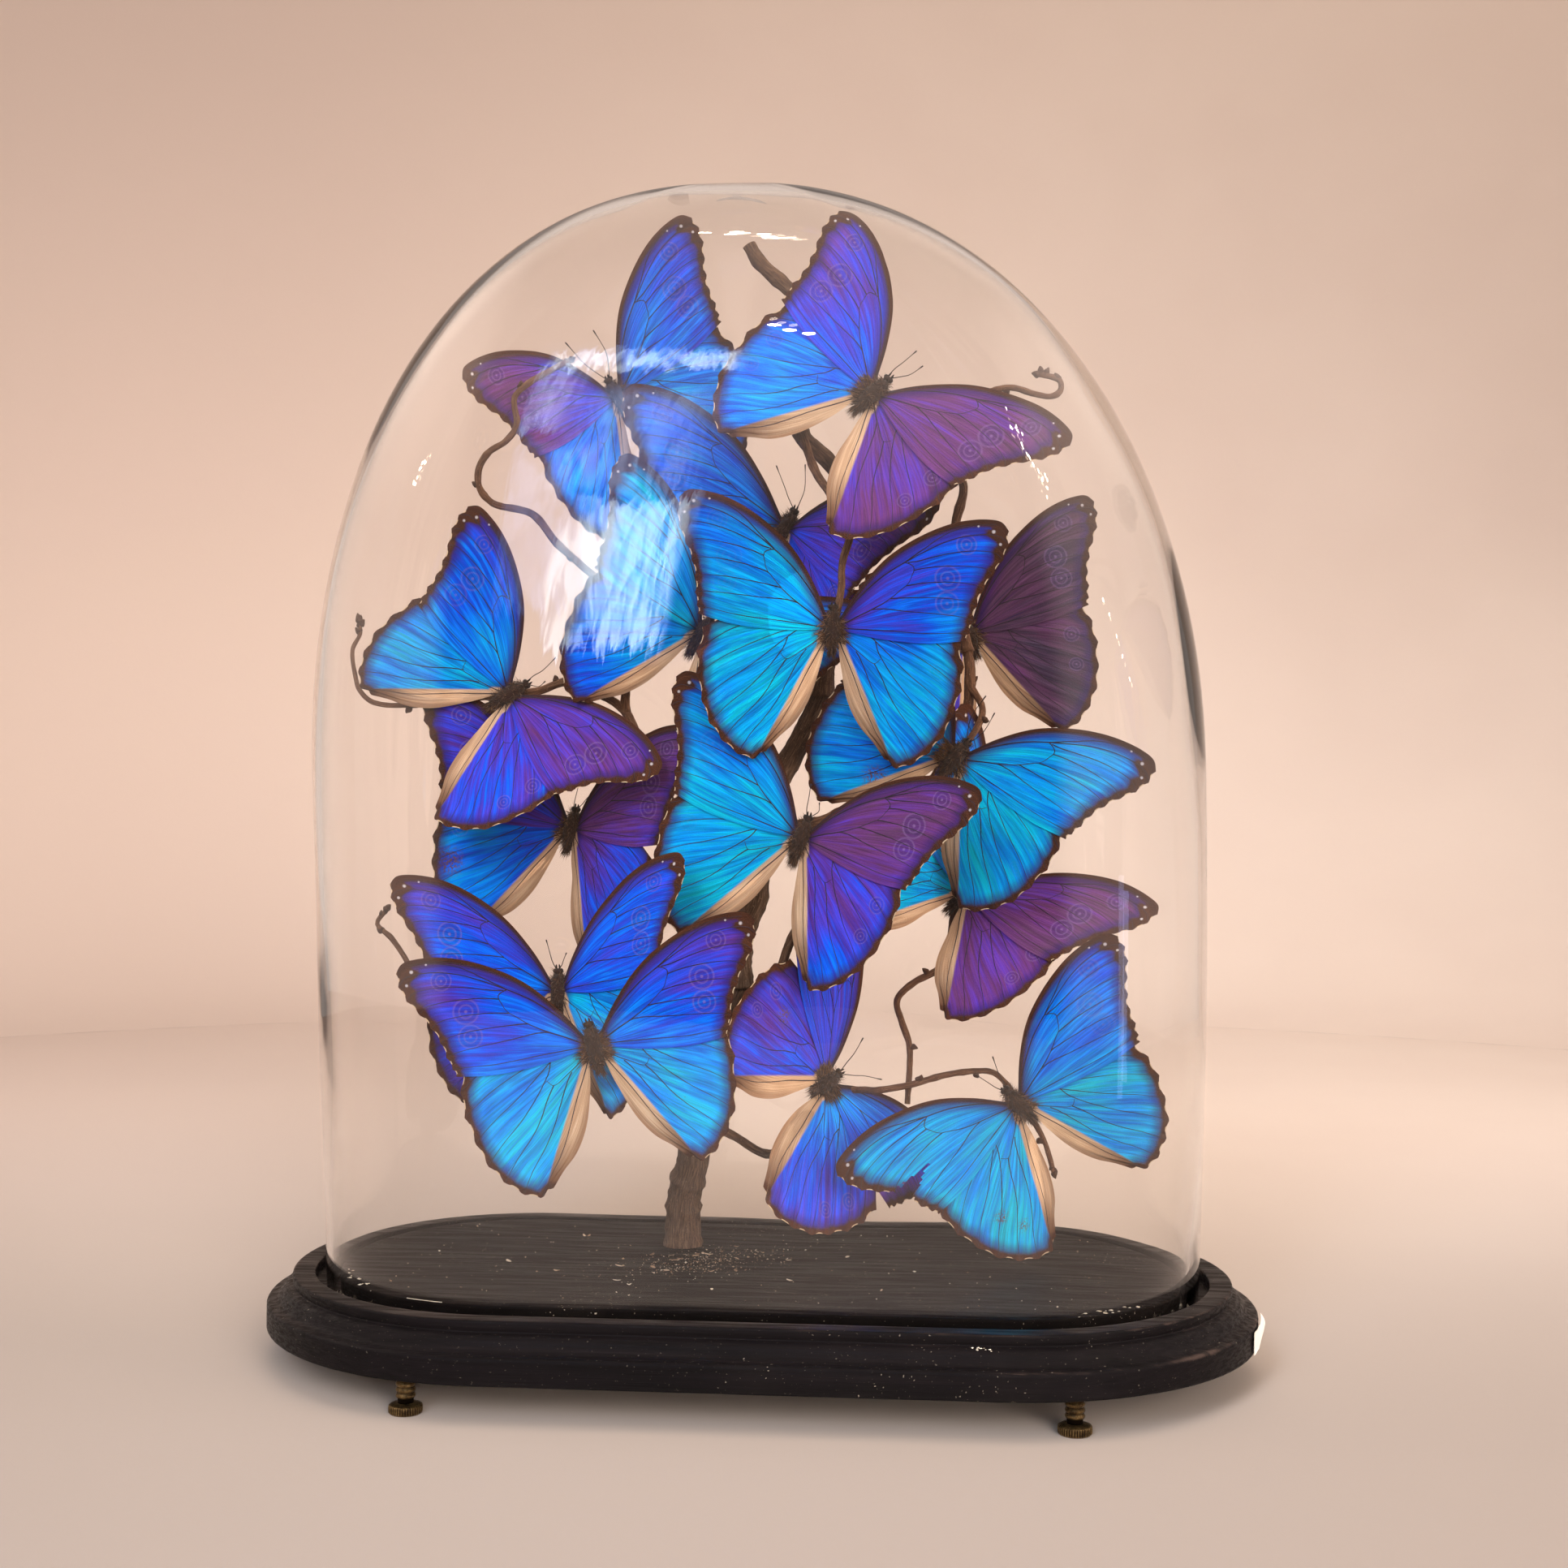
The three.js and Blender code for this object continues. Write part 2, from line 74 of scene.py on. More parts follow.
def buildPiece(name, bundle, materials, replaces=(), smooth=True):
    points = np.concatenate(bundle["points"]) * 0.001 + (centreX, 0, 0)
    corners = np.concatenate([block.ravel() for block in bundle["faces"]])
    sizes = np.concatenate([np.full(len(block), block.shape[1]) for block in bundle["faces"]])
    mesh = bpy.data.meshes.new(name)
    mesh.vertices.add(len(points))
    mesh.vertices.foreach_set("co", points.ravel())
    mesh.loops.add(len(corners))
    mesh.loops.foreach_set("vertex_index", corners)
    mesh.polygons.add(len(sizes))
    mesh.polygons.foreach_set("loop_start", np.concatenate([[0], np.cumsum(sizes)[:-1]]))
    mesh.polygons.foreach_set("material_index", np.concatenate(bundle["slots"]))
    mesh.update(calc_edges=True)
    mesh.validate()
    if smooth:
        mesh.shade_smooth()
    for mark, blocks in bundle["marks"].items():
        wide = blocks[0][1].ndim == 2
        values = np.zeros((len(points), 3) if wide else len(points))
        for start, block in blocks:
            values[start:start + len(block)] = block
        layer = mesh.attributes.new(mark, "FLOAT_VECTOR" if wide else "FLOAT", "POINT")
        layer.data.foreach_set("vector" if wide else "value", values.ravel())
    piece = hang(name, mesh)
    for material in materials:
        mesh.materials.append(material)
    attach(piece, "root")
    if replaces:
        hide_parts(*replaces)


def circle(radius, angles, z):
    return np.stack([radius * np.cos(angles), radius * np.sin(angles), z + 0 * angles], -1)


def turnsOf(count):
    return np.linspace(0, 2 * pi, count, endpoint=False)


def gridFaces(rows, columns, closed=False, flip=False):
    first = np.arange(rows - 1)[:, None] * columns
    step = np.arange(columns if closed else columns - 1)
    one, two = first + step, first + (step + 1) % columns
    faces = np.stack([one, two, two + columns, one + columns], -1).reshape(-1, 4)
    return faces[:, ::-1] if flip else faces


# Closed rings stacked into a skin, with a point in the middle of the first and the last.
def addSkin(bundle, rings, low, high, slot=0, pose=np.asarray, **marks):
    rings = np.asarray(rings, float)
    rows, columns = rings.shape[:2]
    one = np.arange(columns)
    two = (one + 1) % columns
    bottom = np.stack([two, one, np.full(columns, rows * columns)], -1)
    top = np.stack([one + (rows - 1) * columns, two + (rows - 1) * columns, np.full(columns, rows * columns + 1)], -1)
    points = pose(np.concatenate([rings.reshape(-1, 3), [low, high]]))
    addPart(bundle, points, [gridFaces(rows, columns, True), bottom, top], slot, **marks)


# A smooth line through the points, spaced evenly or at the given shares of its length.
def smoothPath(points, count=0, shares=None):
    points = np.asarray(points, float)
    ends = np.vstack([2 * points[0] - points[1], points, 2 * points[-1] - points[-2]])
    line = []
    t = np.linspace(0, 1, 24, endpoint=False)[:, None]
    for a, b, c, d in zip(ends, ends[1:], ends[2:], ends[3:]):
        before, here, after = (max(np.linalg.norm(q - p), 1e-6) ** 0.5 for p, q in ((a, b), (b, c), (c, d)))
        leave = ((b - a) / before - (c - a) / (before + here) + (c - b) / here) * here
        arrive = ((c - b) / here - (d - b) / (here + after) + (d - c) / after) * here
        line.append((2 * t**3 - 3 * t**2 + 1) * b + (t**3 - 2 * t**2 + t) * leave
                    + (3 * t**2 - 2 * t**3) * c + (t**3 - t**2) * arrive)
    line = np.vstack(line + [points[-1:]])
    gone = np.concatenate([[0], np.cumsum(np.linalg.norm(np.diff(line, axis=0), axis=1))])
    if shares is None:
        shares = np.linspace(0, 1, count)
    return np.stack([np.interp(shares * gone[-1], gone, column) for column in line.T], -1)


def unit(vectors):
    return vectors / np.maximum(np.linalg.norm(vectors, axis=-1, keepdims=True), 1e-9)


def smoothStep(values, start, end):
    share = np.clip((np.asarray(values, float) - start) / (end - start), 0, 1)
    return share * share * (3 - 2 * share)


# A soft, repeatable unevenness between about -1 and 1 over points in mm.
def ripple(points, wave, seed):
    random = np.random.default_rng(seed)
    total = 0
    for octave in range(4):
        turn = unit(random.normal(size=points.shape[-1])) * 2 * pi / (wave * random.uniform(0.6, 1.4))
        total = total + np.sin(points @ turn + random.uniform(0, 2 * pi))
    return total / 2.6


# A round tube along a path, with a radius for each point of it, or for each point of each ring.
def tube(path, radii, sides):
    ways = unit(np.gradient(path, axis=0))
    across = unit(np.cross(ways[0], (0.3, 0.9, 0.2) if abs(ways[0][1]) < 0.8 else (1, 0, 0)))
    angles = turnsOf(sides)[:, None]
    rings = []
    for place, way, radius in zip(path, ways, np.reshape(radii, (len(path), -1, 1))):
        across = unit(across - way * (across @ way))
        rings.append(place + (np.cos(angles) * across + np.sin(angles) * np.cross(way, across)) * radius)
    return np.array(rings)


# Small tools for materials. Each adds its nodes to the tree that was opened last.

def tint(red, green, blue):
    return tuple((value / 255 / 12.92 if value < 10.3 else ((value / 255 + 0.055) / 1.055) ** 2.4)
                 for value in (red, green, blue)) + (1,)


def asColour(value):  # a plain number is a grey, and three numbers are red, green and blue up to 255
    if isinstance(value, (int, float)):
        return (value, value, value, 1)
    return tint(*value) if isinstance(value, tuple) and len(value) == 3 else value


def newMaterial(name, **settings):
    global tree, shader
    material = bpy.data.materials.new(name)
    material.use_nodes = True
    tree = material.node_tree
    shader = tree.nodes["Principled BSDF"]
    for socket, value in settings.items():
        shader.inputs[socket.replace("_", " ")].default_value = value
    return material


def put(kind, inputs, **settings):
    node = tree.nodes.new("ShaderNode" + kind)
    for key, value in settings.items():
        setattr(node, key, value)
    for key, value in inputs.items():
        if isinstance(value, bpy.types.NodeSocket):
            tree.links.new(value, node.inputs[key])
        else:
            node.inputs[key].default_value = value
    return node


def mark(name, output="Fac"):
    return put("Attribute", {}, attribute_name=name).outputs[output]


def stretch(vector, *scale):
    return put("Mapping", {"Vector": vector, "Scale": scale}).outputs[0]


def placeIn():
    return stretch(put("TexCoord", {}).outputs["Object"], 1, 1, 1)


def noise(vector, scale, detail=3.0, rough=0.55, twist=0.0):
    return put("TexNoise", {"Vector": vector, "Scale": scale, "Detail": detail, "Roughness": rough,
                            "Distortion": twist}).outputs["Fac"]


def calc(operation, first, second=0.0, third=0.0):
    return put("Math", {0: first, 1: second, 2: third}, operation=operation).outputs[0]


def plus(first, second):
    return calc("ADD", first, second)


def times(first, second):
    return calc("MULTIPLY", first, second)


def scaled(value, factor, shift):
    return calc("MULTIPLY_ADD", value, factor, shift)


def most(first, second):
    return calc("MAXIMUM", first, second)


def distance(place, x, y):
    return put("VectorMath", {0: place, 1: (x, y, 0)}, operation="DISTANCE").outputs["Value"]


def ease(value, start, end, low=0.0, high=1.0):
    return put("MapRange", {"Value": value, "From Min": start, "From Max": end, "To Min": low,
                            "To Max": high}, interpolation_type="SMOOTHSTEP").outputs[0]


def blend(factor, first, second):
    return put("Mix", {0: factor, 6: asColour(first), 7: asColour(second)}, data_type="RGBA").outputs[2]


# Lays coats on a colour: what each follows, where it starts and is full, how strong it is, and its colour.
def coat(colour, *coats):
    for value, start, end, strong, over in coats:
        colour = blend(ease(value, start, end, 0.0, strong), colour, over)
    return colour


def ramp(factor, *stops):
    node = put("ValToRGB", {"Fac": factor})
    points = node.color_ramp.elements
    while len(points) < len(stops):
        points.new(0.5)
    for point, (at, colour) in zip(points, stops):
        point.position = at
        point.color = asColour(colour)
    return node.outputs[0]


def bump(height, strength, distance):
    made = put("Bump", {"Height": height, "Strength": strength, "Distance": distance})
    tree.links.new(made.outputs[0], shader.inputs["Normal"])


def wireUp(**sockets):
    for socket, value in sockets.items():
        tree.links.new(value, shader.inputs[socket.replace("_", " ")])


# Camera, backdrop and light

camera = {"lens": 46.58, "place": (75.551, -850.355, 239.605), "yaw": 0.078, "roll": 0.007}
eye = bpy.data.cameras.new("camera")
eye.lens = camera["lens"]
eye.sensor_width = 36
bpy.context.scene.camera = hang("camera", eye)
forward = Vector((-sin(camera["yaw"]), cos(camera["yaw"]), 0))
level = Vector((cos(camera["yaw"]), sin(camera["yaw"]), 0))
side = cos(camera["roll"]) * level + sin(camera["roll"]) * Vector((0, 0, 1))
stand = Matrix.Translation(Vector(camera["place"]) * 0.001 + Vector((centreX, 0, 0)))
bpy.context.scene.camera.matrix_world = stand @ Matrix((side, side.cross(forward), -forward)).transposed().to_4x4()

stage = {"floor": 1.25, "bend": 0.6, "high": 1.42, "halfTurn": 45}
rounds = np.radians(np.linspace(0, 360, 97))[:-1]
floorPoints = [circle(r, rounds, 0)[:, (1, 0, 2)] for r in (0.3, 0.8, stage["floor"])] + [[[0, 0, 0]]]
middle = 3 * len(rounds)
floorFaces = gridFaces(3, 96, True).tolist() + [[(k + 1) % 96, k, middle] for k in range(96)]
turns = pi / 2 * np.arange(17) / 16
reaches = list(stage["floor"] + stage["bend"] * np.sin(turns)) + [stage["floor"] + stage["bend"]]
heights = list(stage["bend"] * (1 - np.cos(turns))) + [stage["high"]]
rounds = np.radians(np.linspace(-stage["halfTurn"], stage["halfTurn"], 73))
wallPoints = [circle(r, rounds, z)[:, (1, 0, 2)] for r, z in zip(reaches, heights)]
backMesh = bpy.data.meshes.new("backdrop")
wallFaces = (gridFaces(len(wallPoints), len(rounds)) + middle + 1).tolist()
backMesh.from_pydata(np.concatenate(floorPoints + wallPoints).tolist(), [], floorFaces + wallFaces)
backMesh.shade_smooth()
backMaterial = newMaterial("paleBackdrop", Roughness=0.9)
spot = placeIn()
pale = ramp(noise(spot, 3.0), (0.3, (206, 188, 175)), (0.7, (211, 194, 181)))
whereabouts = put("SeparateXYZ", {0: spot}).outputs
# painted shade: the backdrop grows darker towards the left
pale = blend(ease(whereabouts["X"], 0.3, -0.9), pale, (192, 173, 161))
# painted shade: the floor grows darker towards the front
wireUp(Base_Color=blend(ease(whereabouts["Y"], 0.7, -0.1), pale, (154, 140, 130)))
bump(noise(spot, 260.0), 0.1, 0.0005)
backMesh.materials.append(backMaterial)
backPiece = hang("backdrop", backMesh)

lights = {
    "ceiling": {"size": (1.6, 1.4), "power": 5, "at": (0.25, -0.6, 2.2), "to": (0, 0, 0.2), "colour": (1, 0.92, 0.84),
                "spread": 70},
    "room": {"size": (1.5, 1.5), "power": 17, "at": (0.9, -2.1, 0.9), "to": (0, 0, 0.3), "colour": (1, 0.93, 0.88),
             "spread": 50},
    "wallWash": {"size": (2.4, 0.6), "power": 32, "at": (0.7, 0.1, 2.3), "to": (0.75, 1.8, 1.2),
                 "colour": (1, 0.87, 0.78)},
    "window": {"size": (0.34, 1.34), "power": 15, "at": (-0.31, -1.45, 1.15), "to": (-0.31, 0, 1.15),
               "colour": (0.7, 0.84, 1), "mirrored": True},
    "day": {"size": (0.5, 1.2), "power": 5, "at": (-0.5, -1.5, 1.2), "to": (0, 0, 0.3), "colour": (0.74, 0.86, 1),
            "spread": 60},
    "sill": {"size": (0.045, 0.16), "power": 0.06, "at": (0.8, -0.31, 0.09), "to": (0, 0, 0.12),
             "colour": (0.5, 0.6, 1), "mirrored": True},
}
for name, lamp in lights.items():
    light = bpy.data.lights.new(name, "AREA")
    light.shape = "RECTANGLE"
    light.size, light.size_y = lamp["size"]
    light.energy = lamp["power"]
    light.color = lamp["colour"]
    light.spread = radians(lamp.get("spread", 180))
    holder = hang(name, light)
    holder.location = lamp["at"]
    holder.rotation_euler = (Vector(lamp["to"]) - Vector(lamp["at"])).to_track_quat("-Z", "Y").to_euler()
    holder.visible_camera = False
    holder.visible_glossy = holder.visible_transmission = lamp.get("mirrored", False)  # seen in the glass or not

# what shows in the window: across and up from its lower left, as the glass mirrors it, and how bright
panes = [(0.4, 0.78, 0.05, 0.36, 0.03, 0.9), (0.18, 0.42, 0.12, 0.52, 0.04, 0.2), (0.36, 0.78, 0.38, 0.74, 0.1, 0.34),
         (0.2, 0.84, 0.85, 0.95, 0.04, 0.85), (0.16, 0.3, 0.56, 0.88, 0.04, 0.5)]
light = bpy.data.lights["window"]
light.use_nodes = True
tree = light.node_tree
spot = put("NewGeometry", {}).outputs["Parametric"]
across = put("SeparateXYZ", {0: spot}).outputs
leaves = noise(stretch(spot, 26, 7, 1), 1.0, 4.0, 0.6, 0.8)
drift = scaled(leaves, 0.2, -0.1)
x = plus(across["X"], times(drift, 0.5))
y = plus(across["Y"], times(drift, 0.9))
shine = 0.02
for left, right, low, high, soft, bright in panes:
    pane = times(ease(x, left - soft, left + soft), ease(x, right + soft, right - soft))
    pane = times(pane, ease(y, low - soft / 3, low + soft / 3))
    shine = plus(shine, times(pane, ease(y, high + soft / 3, high - soft / 3, 0.0, bright)))
shine = times(shine, ease(leaves, 0.35, 0.6, 0.4, 1.05))
emission = tree.nodes["Emission"].inputs
tree.links.new(shine, emission["Strength"])
tree.links.new(ramp(shine, (0.1, (0.2, 0.42, 1, 1)), (0.75, (0.9, 0.96, 1, 1))), emission["Color"])

# clusters of small warm lamps, seen as sparkles in the glass: from, to, how many, how scattered
sparkles = {"power": 0.22, "radius": 0.007, "clusters": [
    ((0.746, -0.819, 1.225), (0.953, -0.796, 1.034), 20, 0.032),
    ((-0.096, -0.905, 1.404), (-0.063, -0.933, 1.379), 3, 0.002),
    ((-0.134, -0.282, 1.732), (-0.092, -0.366, 1.713), 9, 0.014),
    ((-1.228, -0.451, 0.943), (-1.169, -0.509, 1.007), 8, 0.014),
    ((1.282, -0.518, 0.732), (1.408, -0.288, 0.51), 5, 0.008)]}
random = np.random.default_rng(12)
for start, end, count, scatter in sparkles["clusters"]:
    for share in np.arange(count) / (count - 1):
        lamp = bpy.data.lights.new("lamp", "POINT")
        lamp.energy = sparkles["power"]
        lamp.color = (1, 0.86, 0.7)
        lamp.shadow_soft_size = sparkles["radius"]
        holder = hang("lamp", lamp)
        holder.location = (1 - share) * np.array(start) + share * np.array(end) + random.normal(size=3) * scatter
        holder.visible_camera = False
world = bpy.data.worlds.new("room")  # pale to the sides and above, dim in front
world.use_nodes = True
tree = world.node_tree
sky = tree.nodes["Background"].inputs
sky["Color"].default_value = tint(232, 212, 200)
toRoom = put("SeparateXYZ", {0: put("TexCoord", {}).outputs["Generated"]}).outputs
pale = plus(ease(calc("ABSOLUTE", toRoom["X"]), 0.46, 0.68, 0.07, 0.9), ease(toRoom["Z"], 0.3, 0.6, 0.0, 0.85))
scattered = put("LightPath", {}).outputs["Is Diffuse Ray"]  # the pale room is for the glass, less for the rest
tree.links.new(times(pale, scaled(scattered, -0.65, 1.0)), sky["Strength"])
bpy.context.scene.world = world
bpy.context.scene.view_settings.view_transform = "Standard"
print("camera, backdrop and light in place")


# Base

def ovalRing(reach, depth, z, steps, straight, shift=0.0):
    radius = min(reach, depth)
    ring = []
    for way in (1, -1):
        turns = np.linspace(0, pi, steps + 1) - pi / 2
        bow = circle(way * radius, turns, z) + (way * (reach - radius) + shift, 0, 0)
        side = bow[-1] - 2 * way * (reach - radius) * np.arange(1, straight)[:, None] / straight * (1, 0, 0)
        ring += [bow, side]
    return np.concatenate(ring)


base = {
    "reach": 206, "depth": 108,
    # inset from the widest outline, height, and how worn the black is there
    "profile": [
        (60, 14.7, 0), (8, 14.7, 0), (0.9, 14.7, 0.1), (0.3, 14.9, 0.5), (0.05, 15.3, 0.6), (0, 16, 0.2),
        (0, 18, 0), (0, 21, 0), (0, 24, 0.2), (0.12, 24.8, 0.7), (0.5, 25.35, 1), (1.2, 25.7, 0.7), (2.4, 25.9, 0.2),
        (3.4, 26.15, 0), (4.4, 26.65, 0), (5.3, 27.4, 0), (6.1, 28.5, 0), (6.8, 29.7, 0), (7.4, 30.6, 0),
        (8.2, 31.3, 0), (9.3, 31.9, 0.1), (10.3, 32.15, 0.4), (10.72, 32.4, 0.1), (10.62, 32.9, 0), (10.4, 33.5, 0),
        (10.4, 34.6, 0), (10.4, 35.7, 0.2), (10.55, 36.2, 0.8), (10.95, 36.5, 0.9), (11.6, 36.6, 0.4),
        (14, 36.6, 0), (17, 36.6, 0), (18.9, 36.6, 0.2), (19.4, 36.4, 0.7), (19.6, 36, 0.3), (19.6, 33, 0),
        (19.6, 30, 0), (24, 30, 0),
    ],
    "board": [
        (60, 30.3, 0), (29.5, 30.3, 0), (29.5, 32, 0), (29.5, 34.5, 0), (29.5, 36.5, 0.2), (29.7, 37.1, 0.7),
        (30.2, 37.45, 0.7), (31, 37.5, 0.2), (33, 37.5, 0), (50, 37.5, 0), (70, 37.5, 0),
    ],
    "steps": 44, "straight": 36, "unevenness": 0.09,
}
bowX = base["reach"] - base["depth"]  # where the round ends have their centres


def ovalTurning(profile, seed):
    rings, worn = [], []
    for inset, z, wear in profile:
        ring = ovalRing(base["reach"] - inset, base["depth"] - inset, z, base["steps"], base["straight"])
        out = unit(ring * (1, 1, 0) - np.clip(ring, (-bowX, 0, 0), (bowX, 0, 0)))
        rings.append(ring - out * (base["unevenness"] * np.maximum(0.05, 1 + ripple(ring, 60, seed)))[:, None])
        worn.append(np.clip(wear * (0.55 + 0.6 * ripple(rings[-1], 35, seed + 1)), 0, 1))
    bundle = newBundle()
    addSkin(bundle, rings, (0, 0, profile[0][1]), (0, 0, profile[-1][1]), worn=np.concatenate(worn + [[0, 0]]))
    return bundle


def ebonyMaterial(name, look):
    material = newMaterial(name, Specular_IOR_Level=look["shine"])
    spot = placeIn()
    grain = noise(stretch(spot, 9, 190, 320), 1.0, 6.0, 0.66, 0.6)
    brushed = noise(stretch(spot, 26, 300, 1100), 1.0, 3.0, 0.6, 0.3)
    clouds = noise(spot, 14.0, 4.0)
    flecks = noise(spot, 1100.0, 1.0, 0.4)
    dustField = noise(spot, 22.0, 5.0, 0.7)
    body = ramp(grain, (0.3, look["dark"]), (0.6, look["mid"]), (0.78, look["light"]))
    worn = times(mark("worn"), ease(plus(grain, clouds), 0.9, 1.25))
    body = coat(body, (clouds, 0.35, 0.75, 0.55, look["mid"]), (worn, 0.15, 0.9, 0.6, look["bare"]),
                (dustField, 0.46, 0.76, look["haze"], (120, 104, 92)))
    specks = times(ease(flecks, 0.71, 0.77), ease(dustField, 0.5, 0.66, look["dust"] * 0.15, look["dust"]))
    body = blend(specks, body, (176, 160, 142))
    wireUp(Base_Color=body, Roughness=ease(brushed, 0.35, 0.7, look["gloss"], look["gloss"] + 0.25))
    bump(plus(times(grain, 0.5), times(brushed, 0.6)), 0.55, 0.0006)
    return material


baseWood = ebonyMaterial("ebonisedMoulding", {
    "dark": (6, 5, 5), "mid": (12, 9, 10), "light": (23, 18, 18), "bare": (70, 55, 48),
    "gloss": 0.36, "shine": 0.09, "dust": 0.5, "haze": 0.01})
boardWood = ebonyMaterial("ebonisedBoard", {
    "dark": (8, 6, 6), "mid": (14, 11, 10), "light": (25, 19, 17), "bare": (62, 48, 40),
    "gloss": 0.5, "shine": 0.03, "dust": 0.9, "haze": 0.02})
buildPiece("plinthMoulding", ovalTurning(base["profile"], 3), [baseWood], ["plinth"])
buildPiece("raisedBoard", ovalTurning(base["board"], 8), [boardWood], ["platform"])
print("base made")


# Feet

feet = {
    "x": 126, "y": 93.7, "knurls": 40, "knurlDepth": 0.32,
    # radius, height, and how deep the knurls are there
    "disc": [(5.4, 0.0, 0), (5.9, 0.12, 0), (6.25, 0.5, 0.5), (6.35, 0.8, 1), (6.35, 1.6, 1), (6.35, 2.5, 1),
             (6.3, 3.1, 0.8), (5.9, 3.5, 0.2), (5.3, 3.75, 0), (4.2, 3.9, 0), (2.6, 4, 0)],
    "collar": [(2.6, 4.05), (3, 4.1), (3, 5.6), (3.15, 5.9), (3.6, 6.2), (3.85, 6.7), (3.85, 7.1), (3.6, 7.6),
               (3.3, 7.9), (3.3, 8.1), (3.6, 8.4), (3.85, 8.9), (3.85, 9.3), (3.6, 9.8), (3.3, 10.1), (3.3, 10.3),
               (3.6, 10.6), (3.85, 11.1), (3.85, 11.5), (3.6, 12), (3.3, 12.3), (3.35, 13.2), (3.7, 13.8),
               (3.75, 14.4)],
}
footBrass = newMaterial("agedBrass", Metallic=0.92)
spot = placeIn()
clouds = noise(spot, 420.0, 5.0, 0.65)
grime = noise(spot, 1500.0, 3.0)
tone = ramp(clouds, (0.32, (58, 46, 32)), (0.52, (112, 90, 58)), (0.72, (158, 132, 88)))
dirt = most(ease(mark("hollow"), 0.25, 0.9), ease(grime, 0.55, 0.7, 0.0, 0.6))
wireUp(Base_Color=blend(dirt, tone, (30, 22, 16)), Roughness=ease(plus(clouds, dirt), 0.4, 1.3, 0.28, 0.7))
bump(grime, 0.3, 0.0002)
turnings = (("knurledDisc_", "disc", 240, 0, 4), ("beadedCollar_", "collar", 48, 4.05, 14.4))
for place in ("front_left", "front_right", "back_left", "back_right"):
    middle = np.array([feet["x"] * (1 if "right" in place else -1), feet["y"] * (1 if "back" in place else -1), 0])
    for name, part, count, low, high in turnings:
        angles = turnsOf(count)
        gaps = 1 - (0.5 + 0.5 * np.cos(feet["knurls"] * angles)) ** 0.7
        rings, hollows = [], []
        for radius, z, *knurl in feet[part]:
            cut = knurl[0] if knurl else 0
            rings.append(middle + circle(radius + 0.13 * cut - feet["knurlDepth"] * cut * gaps, angles, z))
            hollows.append(cut * gaps if knurl else 1 - smoothStep(radius, 3.05, 3.7) + 0 * angles)
        foot = newBundle()
        addSkin(foot, rings, middle + (0, 0, low), middle + (0, 0, high), hollow=np.concatenate(hollows + [[0, 0]]))
        buildPiece(name + place, foot, [footBrass], ["foot_" + part + "_" + place])
print("feet made")


# Blank paper label

label = {"from": -20.6, "to": -3, "low": 15.3, "high": 24.5, "curl": 2.5, "thick": 0.16}
paper = newMaterial("labelPaper", Roughness=0.85)
spot = placeIn()
fibres = noise(stretch(spot, 1, 1, 0.4), 2600.0, 4.0, 0.6)
sheetTone = ramp(noise(spot, 55.0, 2.0), (0.3, (214, 208, 194)), (0.5, (228, 223, 213)), (0.7, (236, 233, 226)))
wireUp(Base_Color=blend(ease(fibres, 0.5, 0.8, 0.0, 0.3), sheetTone, (204, 197, 182)))
bump(fibres, 0.3, 0.0002)
rows, columns = 15, 33
share = np.linspace(0, 1, columns)[None, :]
up = np.linspace(0, 1, rows)[:, None]
outward = 0.2 + label["curl"] * share**2.6 * np.sin(pi * (0.06 + 0.88 * up))
outward = outward + 0.1 * np.sin(9 * share + 4 * up) * share
angle = np.radians(label["from"] + (label["to"] - label["from"]) * share) + 0 * up
height = label["low"] + (label["high"] - label["low"]) * (0.02 + 0.96 * up) + 0.16 * np.sin(23 * share) * (2 * up - 1)
strip = newBundle()
for flip in (False, True):
    face = circle(base["depth"] + 0.3 + outward + label["thick"] * flip, angle, height) + (bowX, 0, 0)
    addPart(strip, face, gridFaces(rows, columns, flip=flip))
buildPiece("blankLabel", strip, [paper], ["label"])
print("label made")


# Glass dome

dome = {
    "foot": 30.3, "spring": 243, "top": 491, "thick": 3, "inset": 24, "swell": (4.8, 1.5), "arch": 2.15, "lean": 13,
    "crown": 0.0016,
    "waves": 0.28,  # how uneven the blown wall is
    "tint": tint(236, 222, 198), "density": 13,
}


def glassRing(z, thick):
    rise = max(0, (z - dome["spring"]) / (dome["top"] - thick - dome["spring"]))
    swell = sin(pi / 2 * min(1, (z - dome["foot"]) / (dome["spring"] - dome["foot"])))
    arch = max(0, 1 - rise ** dome["arch"]) ** (1 / dome["arch"])
    reach = (base["reach"] - dome["inset"] + dome["swell"][0] * swell - thick) * arch
    depth = (base["depth"] - dome["inset"] + dome["swell"][1] * swell - thick) * arch
    shift = -dome["lean"] * ((z - dome["foot"]) / (dome["top"] - dome["foot"])) ** 2
    ring = ovalRing(reach, depth, z, 48, 28, shift)
    out = unit(ring - (shift, 0, z - 60 * rise))
    uneven = np.maximum(0.05, 1 + ripple(ring * (1, 1, 0.5), 75, 21 + int(thick)))
    ring = ring - out * (dome["waves"] * uneven * (0.3 + 0.7 * min(1, arch * 3)))[:, None]
    ring[:, 2] -= dome["crown"] * (ring[:, 0] - shift) ** 2 * max(0, 1 - 2.5 * arch) ** 2
    return ring


